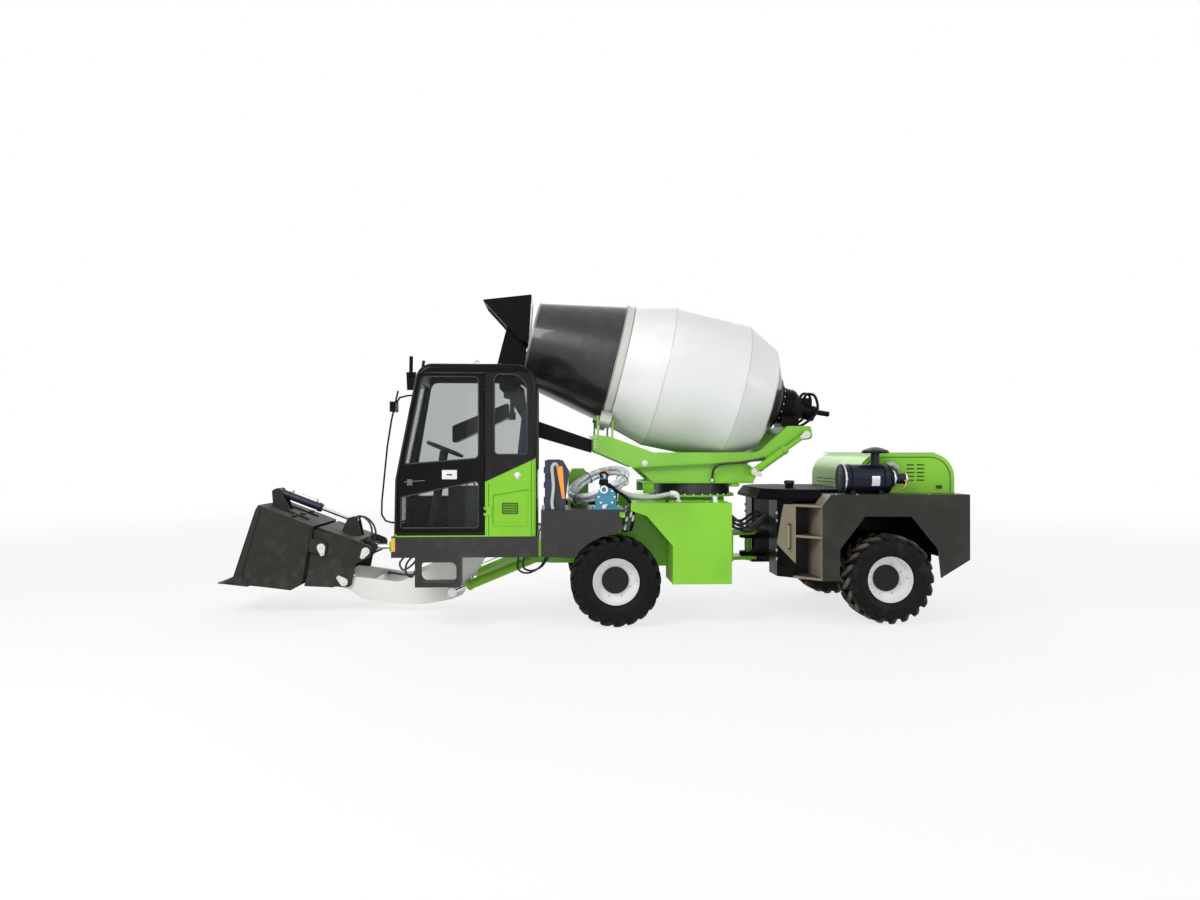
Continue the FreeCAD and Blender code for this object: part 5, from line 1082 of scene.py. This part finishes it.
shape = Shape()
for y in (-0.330, 0.330):
    shape.bar([(-1.054, y, 3.452), (-0.532, y, 3.513)], 0.007)
    shape.bar([(-0.532, y, 3.510), (-0.567, y, 3.006), (-0.640, y, 3.006), (-1.052, y, 3.452)], 0.006)
shape.bar([(-1.052, -0.33, 3.450), (-1.052, 0.33, 3.450)], 0.007)
shape.bar([(-0.534, -0.33, 3.511), (-0.534, 0.33, 3.511)], 0.005)
for y in (-0.243, 0.243):
    shape.bar([(-0.797, y, 3.176), (-0.903, y, 2.762), (-0.878, y, 2.484)], 0.006)
    places = [(-0.640 - 0.035 * k, y, 2.965 + 0.038 * k) for k in range(5)]
    shape.bolts(places, (0, y, 0), 0.008, 0.007)
for y in (-0.11, 0.11):
    shape.plate([(-0.660, 3.018), (-1.030, 3.421), (-1.041, 3.411), (-0.672, 3.008)], y - 0.004, y + 0.004)
piece("hopper_rim", shape, "drum_turret", "black_paint", black)
shape = Shape()
for y in (-0.110, 0.190):
    shape.bar([(-0.802, y, 2.329), (-1.419, y, 2.070)], 0.007)
for k in range(3):
    x = -0.90 - 0.21 * k
    low = 2.165 - (-0.80 - x) * 0.4516
    shape.bar([(x, -0.113, low + 0.120), (x, -0.113, low + 0.004), (x, 0.193, low + 0.004),
               (x, 0.193, low + 0.120)], 0.006)
piece("chute_rim", shape, "discharge_chute", "black_paint", black)


# ---- Cradle, turntable and slewing ring
# Profile-cut green plate; steel rollers under the running ring; pale pin keepers; the band of the
# slewing ring between turntable and frame is painted near-black as shade in the recessed gap, with a
# circle of bolts.
ROLLER = Vector((0.276, 0, 2.138))
cradle_green = Finish("cradle_enamel", LIME, 0.34, coat=0.3, shine=0.4)
across_roller = cradle_green.along(DRUM_AXIS) - ROLLER.dot(DRUM_AXIS)
high = cradle_green.along(Z) > 2.035
out = abs(cradle_green.along(Y)) > 0.355
roller = (abs(across_roller) < 0.0605) * high * out
tone = cradle_green.mix(shade(LIME, 0.86), LIME, cradle_green.noise(1.3, 4.0).fade(0.3, 0.7))
cradle_green.put("Base Color", cradle_green.mix(tone, (0.50, 0.49, 0.45), roller))
cradle_green.put("Metallic", roller * 0.5)
cradle_green.put("Roughness", cradle_green.noise(9.0, 6.0) * 0.14 + 0.28)
cradle_green.relief(cradle_green.noise(260, 2), PEEL, 0.005)
dress(cradle_green.material, "drum_cradle")

slew_paint = Finish("slewing_ring_enamel", LIME, 0.36, coat=0.2, shine=0.4)
height = slew_paint.along(Z)
# Painted shade: the band between turntable and frame is coloured near-black for the shade in the recessed
# gap.
ring = (height > 1.3115) * (height < 1.4395)
gap_shade = slew_paint.mix((0.010, 0.010, 0.010), (0.035, 0.032, 0.028), slew_paint.noise(14.0, 5.0))
slew_paint.look(slew_paint.mix(LIME, gap_shade, ring), slew_paint.noise(9.0, 6.0) * 0.2 + 0.30)
slew_paint.relief(slew_paint.noise(200.0, 2.0), 0.0002, 0.004)
dress(slew_paint.material, "slew_base", "turntable")
SLEW_X = 1.296
LOW_PIN = (1.900, 1.570)
HIGH_PIN = (2.471, 1.975)
shape = Shape()
shape.bolts(circle((SLEW_X, 0, 1.310), X, Y, 0.456, 30), Z, 0.011, 0.013)
piece("ring_bolts", shape, "front_frame", *ZINC)
shape = Shape()
shape.bolts(circle((SLEW_X, 0, 1.460), X, Y, 0.38, 15, 0.5), Z, 0.011, 0.012)
piece("turntable_bolts", shape, "drum_turret", *ZINC)
shape = Shape()
for x0, x1, low in ((0.700, 0.816, 1.330), (1.660, 1.760, 1.402)):
    for side in (-1, 1):
        y0, y1 = sorted((side * 0.340, side * 0.438))
        shape.block((x0, y0, low), (x1, y1, 1.4405), 0.006)
shape.plate(oblong(0.70, 1.4395, 0.80, 1.461), -0.438, 0.438, 0.003)
flange = [(0.60, 1.612), (1.60, 1.668), (2.095, 1.698), (2.345, 1.905), (2.540, 1.935), (2.542, 1.955),
          (2.335, 1.926), (2.085, 1.716), (1.60, 1.688), (0.60, 1.632)]
for side in (-1, 1):
    shape.plate_on(oblong(0.80, 1.441, 1.905, 1.462), side * 0.440, side, 0.012, 0.003)
    shape.plate_on(flange, side * 0.500, side, 0.009, 0.003)
piece("turntable_edges", shape, "drum_turret", "green_paint", green)
shape = Shape()
for side in (-1, 1):
    shape.turned([(0, 0.034), (0.010, 0.032), (0.014, 0.020)], (0.705, side * 0.5005, 1.661), (0, side, 0),
                 28)
    keeper(shape, *LOW_PIN, side * 0.580, side, 150, 0.040)
    keeper(shape, *HIGH_PIN, side * 0.580, side, 30, 0.040)
    places = [(0.165, side * 0.500, 1.835 + 0.035 * k) for k in range(4)]
    shape.bolts(places, (0, side, 0), 0.009, 0.008)
piece("cradle_keepers", shape, "drum_turret", "cream_paint", cream)
shape = Shape()
way = Vector((HIGH_PIN[0] - LOW_PIN[0], 0, HIGH_PIN[1] - LOW_PIN[1])).normalized()
for side in (-1, 1):
    base = Vector((LOW_PIN[0], side * 0.550, LOW_PIN[1]))
    gland(shape, base + way * 0.432, way, 0.048, 0.024)
    gland(shape, base + way * 0.090, way, 0.046, 0.024, 0.020)
piece("cradle_glands", shape, "drum_turret", "green_paint", green)
shape = Shape()
fittings = Shape()
for side in (-1, 1):
    y = side * 0.475
    shape.tube([(1.452, y * 0.97, 1.470), (1.455, y, 1.540), (1.470, y * 1.06, 1.602),
                (1.540, y * 1.10, 1.650), (1.745, y * 1.12, 1.668), (1.93, y * 1.15, 1.700),
                (2.02, y * 1.17, 1.720)], 0.013)
    fittings.turned([(0, 0.021), (0.030, 0.021), (0.034, 0.016), (0.060, 0.016)],
                    (1.452, side * 0.461, 1.460), (0.05, 0, 1), 6, 0.004)
piece("cradle_hoses", shape, "drum_turret", *RUBBER_HOSE)
piece("cradle_fittings", fittings, "drum_turret", *ZINC)


# ---- Rear body
# Folded dark plate with a slanted corner and open steps; faces turned to the front carry a painted
# pale tan highlight and level faces a painted lighter tone, where the light falls; level faces are
# punched for grip. Bolts hold the nose plate; black rubber edges the arches.
HALF_WIDTH = 1.150


def body_paint(name, colour, tan, shine):
    finish = Finish(name, colour, 0.45, coat=shine * 0.25, shine=shine)
    facing = finish.add("ShaderNodeTexCoord").outputs["Normal"]
    parts = finish.add("ShaderNodeSeparateXYZ", None, facing)
    # Painted highlight: faces turned to the front take a pale tan, where the light falls on them.
    front_light = (Value(finish, parts.outputs[0]) * -1).fade(0.30, 0.60) * tan
    level = Value(finish, parts.outputs[2]) > 0.8
    dots = (finish.along(X) * 150.0).math("SINE") * (finish.along(Y) * 150.0).math("SINE")
    holes = (dots > 0.35) * level
    grime = finish.noise(5.0, 6.0)
    base = finish.mix(colour, shade(colour, 1.7), grime.fade(0.4, 0.8))
    base = finish.mix(base, (0.27, 0.225, 0.165), front_light)
    # Painted highlight: level faces take a lighter tone of the same colour, where light falls from above.
    base = finish.mix(base, tuple(c * 2.6 + 0.06 for c in colour), level * 0.7)
    base = finish.mix(base, (0.006, 0.006, 0.006), holes)
    finish.look(base, grime * 0.15 + 0.38)
    finish.relief(finish.noise(220.0, 2.0) * 0.1 - holes, 0.002, 0.004)
    return finish.material


dress(body_paint("body_olive", (0.019, 0.0195, 0.016), 0.9, 0.2), "rear_panels")
dress(body_paint("nose_black", (0.005, 0.005, 0.007), 0.0, 0.02), "nose_deck")
shape = Shape()
seals = Shape()
strips = Shape()
sleeves = Shape()
arch = [(3.722, 0.496), (3.713, 0.487), (3.681, 0.784), (3.397, 1.126), (2.905, 1.128), (2.644, 0.791),
        (2.634, 0.463)]
GRAB = Vector((2.205, 0.830))
CORNER_FRONT = 2.150
CORNER_REAR = 2.463
SLANT = (HALF_WIDTH - 0.020 - GRAB.y) / (CORNER_REAR - CORNER_FRONT)
for side in (-1, 1):
    shape.bolts([(2.094, side * 0.76, z) for z in (1.135, 1.053, 0.740, 0.648)], (-1, 0, 0), 0.015, 0.012)
    shape.bolts([(4.009, side * 1.09, z) for z in (0.74, 0.92, 1.10)], X, 0.012, 0.009)
    shape.bolts([(x, side * 1.10, 1.3445) for x in (2.62, 2.84, 3.60, 3.88)], Z, 0.010, 0.008)
    seals.bar([(x, side * 1.140, z) for x, z in arch], 0.009)
    y0, y1 = sorted((side * 1.110, side * 1.1495))
    strips.block((4.009, y0, 0.680), (4.0135, y1, 1.340), 0.001)
    foot = GRAB + Vector((0, (GRAB.x - CORNER_FRONT) * SLANT)) + Vector((-SLANT, 1)).normalized() * 0.045
    sleeves.bar([(foot.x, side * foot.y, 0.778), (foot.x, side * foot.y, 1.017)], 0.0135, 14)
piece("body_bolts", shape, "rear_frame", *ZINC)
piece("arch_seals", seals, "rear_frame", *SEAL)
piece("corner_strips", strips, "rear_frame", "cream_paint", cream)
piece("grab_sleeves", sleeves, "rear_frame", "olive_paint",
      paint("tan_enamel", (0.30, 0.25, 0.18), 0.45, 0.05))
shape = Shape()
eye = circle((1.990, -0.44, 1.345), X, Z, 0.024, 16)
shape.bar(eye + eye[:1], 0.007)
shape.lathe([(0, 0.046), (0, 0.052), (0.020, 0.052), (0.026, 0.046)], (2.325, -0.400, 1.440), Z, 28)
for x, y, z in circle((2.325, -0.400, 1.448), X, Y, 0.050, 8):
    shape.block((x - 0.007, y - 0.007, z - 0.018), (x + 0.007, y + 0.007, z + 0.018), 0.002)
piece("nose_fittings", shape, "rear_frame", *SEAL)


# ---- Hood and air filter
# One-piece green hood with pressed seams and dark slots. The air filter is a dark blue canister with
# banded ends, a blank silver plate, a rain cap, a rubber elbow, and a bare copper drain pipe.
def arc(centre, radius, start, stop, steps=8):
    turns = [math.radians(start + (stop - start) * k / steps) for k in range(steps + 1)]
    return [(centre[0] + radius * math.cos(turn), centre[1] + radius * math.sin(turn)) for turn in turns]


HOOD_FRONT = 2.950
HOOD_REAR = 4.010
HOOD_TOP = 1.775
HOOD_ROUND = 0.270
shape = Shape()
seam = HOOD_ROUND - 0.045
outline = [(HOOD_FRONT + 0.045, 1.352)] + arc((HOOD_FRONT + HOOD_ROUND, HOOD_TOP - HOOD_ROUND), seam, 180, 90)
outline += arc((HOOD_REAR - HOOD_ROUND, HOOD_TOP - HOOD_ROUND), seam, 90, 0) + [(HOOD_REAR - 0.045, 1.352)]
for x in (3.10, 3.80):
    shape.bar([(x, -0.80, 1.7755), (x, 0.80, 1.7755)], 0.003, 6)
for side in (-1, 1):
    shape.bar([(x, side * 0.8005, z) for x, z in outline], 0.0045, 6)
    y0, y1 = sorted((side * 0.790, side * 0.786))
    for x in (3.16, 3.84):
        shape.block((x - 0.03, side * 0.808 - 0.007, 1.395), (x + 0.03, side * 0.808 + 0.007, 1.430), 0.004)
    for x in (3.484, 3.594):
        for row in range(5):
            low = 1.471 + 0.041 * row
            shape.block((x, y0, low), (x + 0.090, y1, low + 0.022))
shape.block((2.962, -0.62, 1.415), (2.966, 0.62, 1.487))
piece("hood_seams", shape, "rear_frame", *SEAL)

dress(paint("filter_enamel", (0.004, 0.005, 0.016), 0.30, 0.06, dust=0.02, shine=0.2), "air_filter")
FILTER = Vector((2.700, -0.975, 1.50575))
shape = Shape()
for along_filter, radius in ((0.012, 0.1490), (0.085, 0.1495), (0.430, 0.1495), (0.500, 0.1490)):
    shape.hoop(FILTER + X * along_filter, X, 0.010, 0.002, radius - 0.004, radius + 0.004, 48)
for radius in (0.125, 0.085, 0.045):
    shape.lathe([(-0.0005, radius - 0.006), (-0.004, radius - 0.003), (-0.004, radius + 0.003),
                 (-0.0005, radius + 0.006)], FILTER, X, 40)
shape.lathe([(0.0, 0.02), (0.0, 0.118), (0.02, 0.125), (0.035, 0.115), (0.055, 0.05), (0.06, 0.02)],
            (3.077, -0.975, 1.772), Z, 40)
piece("filter_bands", shape, "rear_frame", "black_plastic", black)
shape = Shape()
for x, radius in ((3.262, 0.086), (3.395, 0.058), (2.722, 0.1525)):
    shape.hoop((x, FILTER.y, FILTER.z), X, 0.009, 0.001, radius - 0.004, radius + 0.0025, 40)
    low = FILTER.y - radius
    shape.block((x - 0.012, low - 0.012, 1.495), (x + 0.012, low + 0.004, 1.520), 0.003)
middle = (FILTER.y, FILTER.z)
label = arc(middle, 0.1515, 208, 168) + arc(middle, 0.1515 * 0.985, 168, 208)
shape.rings([[Vector((x, y, z)) for y, z in label] for x in (2.990, 3.075)])
piece("filter_clamps", shape, "rear_frame", "chrome", plated("bright_plate", (0.70, 0.71, 0.72), 0.28))
shape = Shape()
shape.tube([(3.372, -1.02, 1.500), (3.385, -1.03, 1.455), (3.350, -1.035, 1.405), (3.290, -1.03, 1.380),
            (3.215, -1.02, 1.372)], 0.0085, smooth=8)
piece("copper_pipe", shape, "rear_frame", "bucket_paint", plated("bare_copper", (0.62, 0.27, 0.13), 0.3))
shape = Shape()
shape.tube([(3.215, -0.93, 1.600), (3.245, -0.90, 1.650), (3.300, -0.87, 1.655), (3.360, -0.84, 1.610),
            (3.385, -0.79, 1.570)], 0.028, 16, smooth=8)
piece("breather_duct", shape, "rear_frame", *PALE_HOSE)


# ---- Waist hoses
# Steering and drive hoses loop across the centre pivot from fittings on the front frame.
shape = Shape()
fittings = Shape()
for side in (-1, 1):
    for k in range(3):
        y = side * (0.16 + 0.055 * k)
        low = 0.93 + 0.045 * k
        shape.tube([(1.575, y, low + 0.10), (1.66, y, low + 0.09), (1.78, y * 1.05, low - 0.01),
                    (1.93, y * 1.08, low - 0.05), (2.04, y * 1.05, low + 0.02), (2.10, y, low + 0.06)],
                   0.016, smooth=10)
        fittings.turned([(0, 0.024), (0.024, 0.024), (0.028, 0.019), (0.050, 0.019)],
                        (1.569, y, low + 0.10), X, 6, 0.004)
waist = piece("waist_hoses", shape, None, *RUBBER_HOSE)
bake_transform(waist)
piece("waist_fittings", fittings, "front_frame", *ZINC)
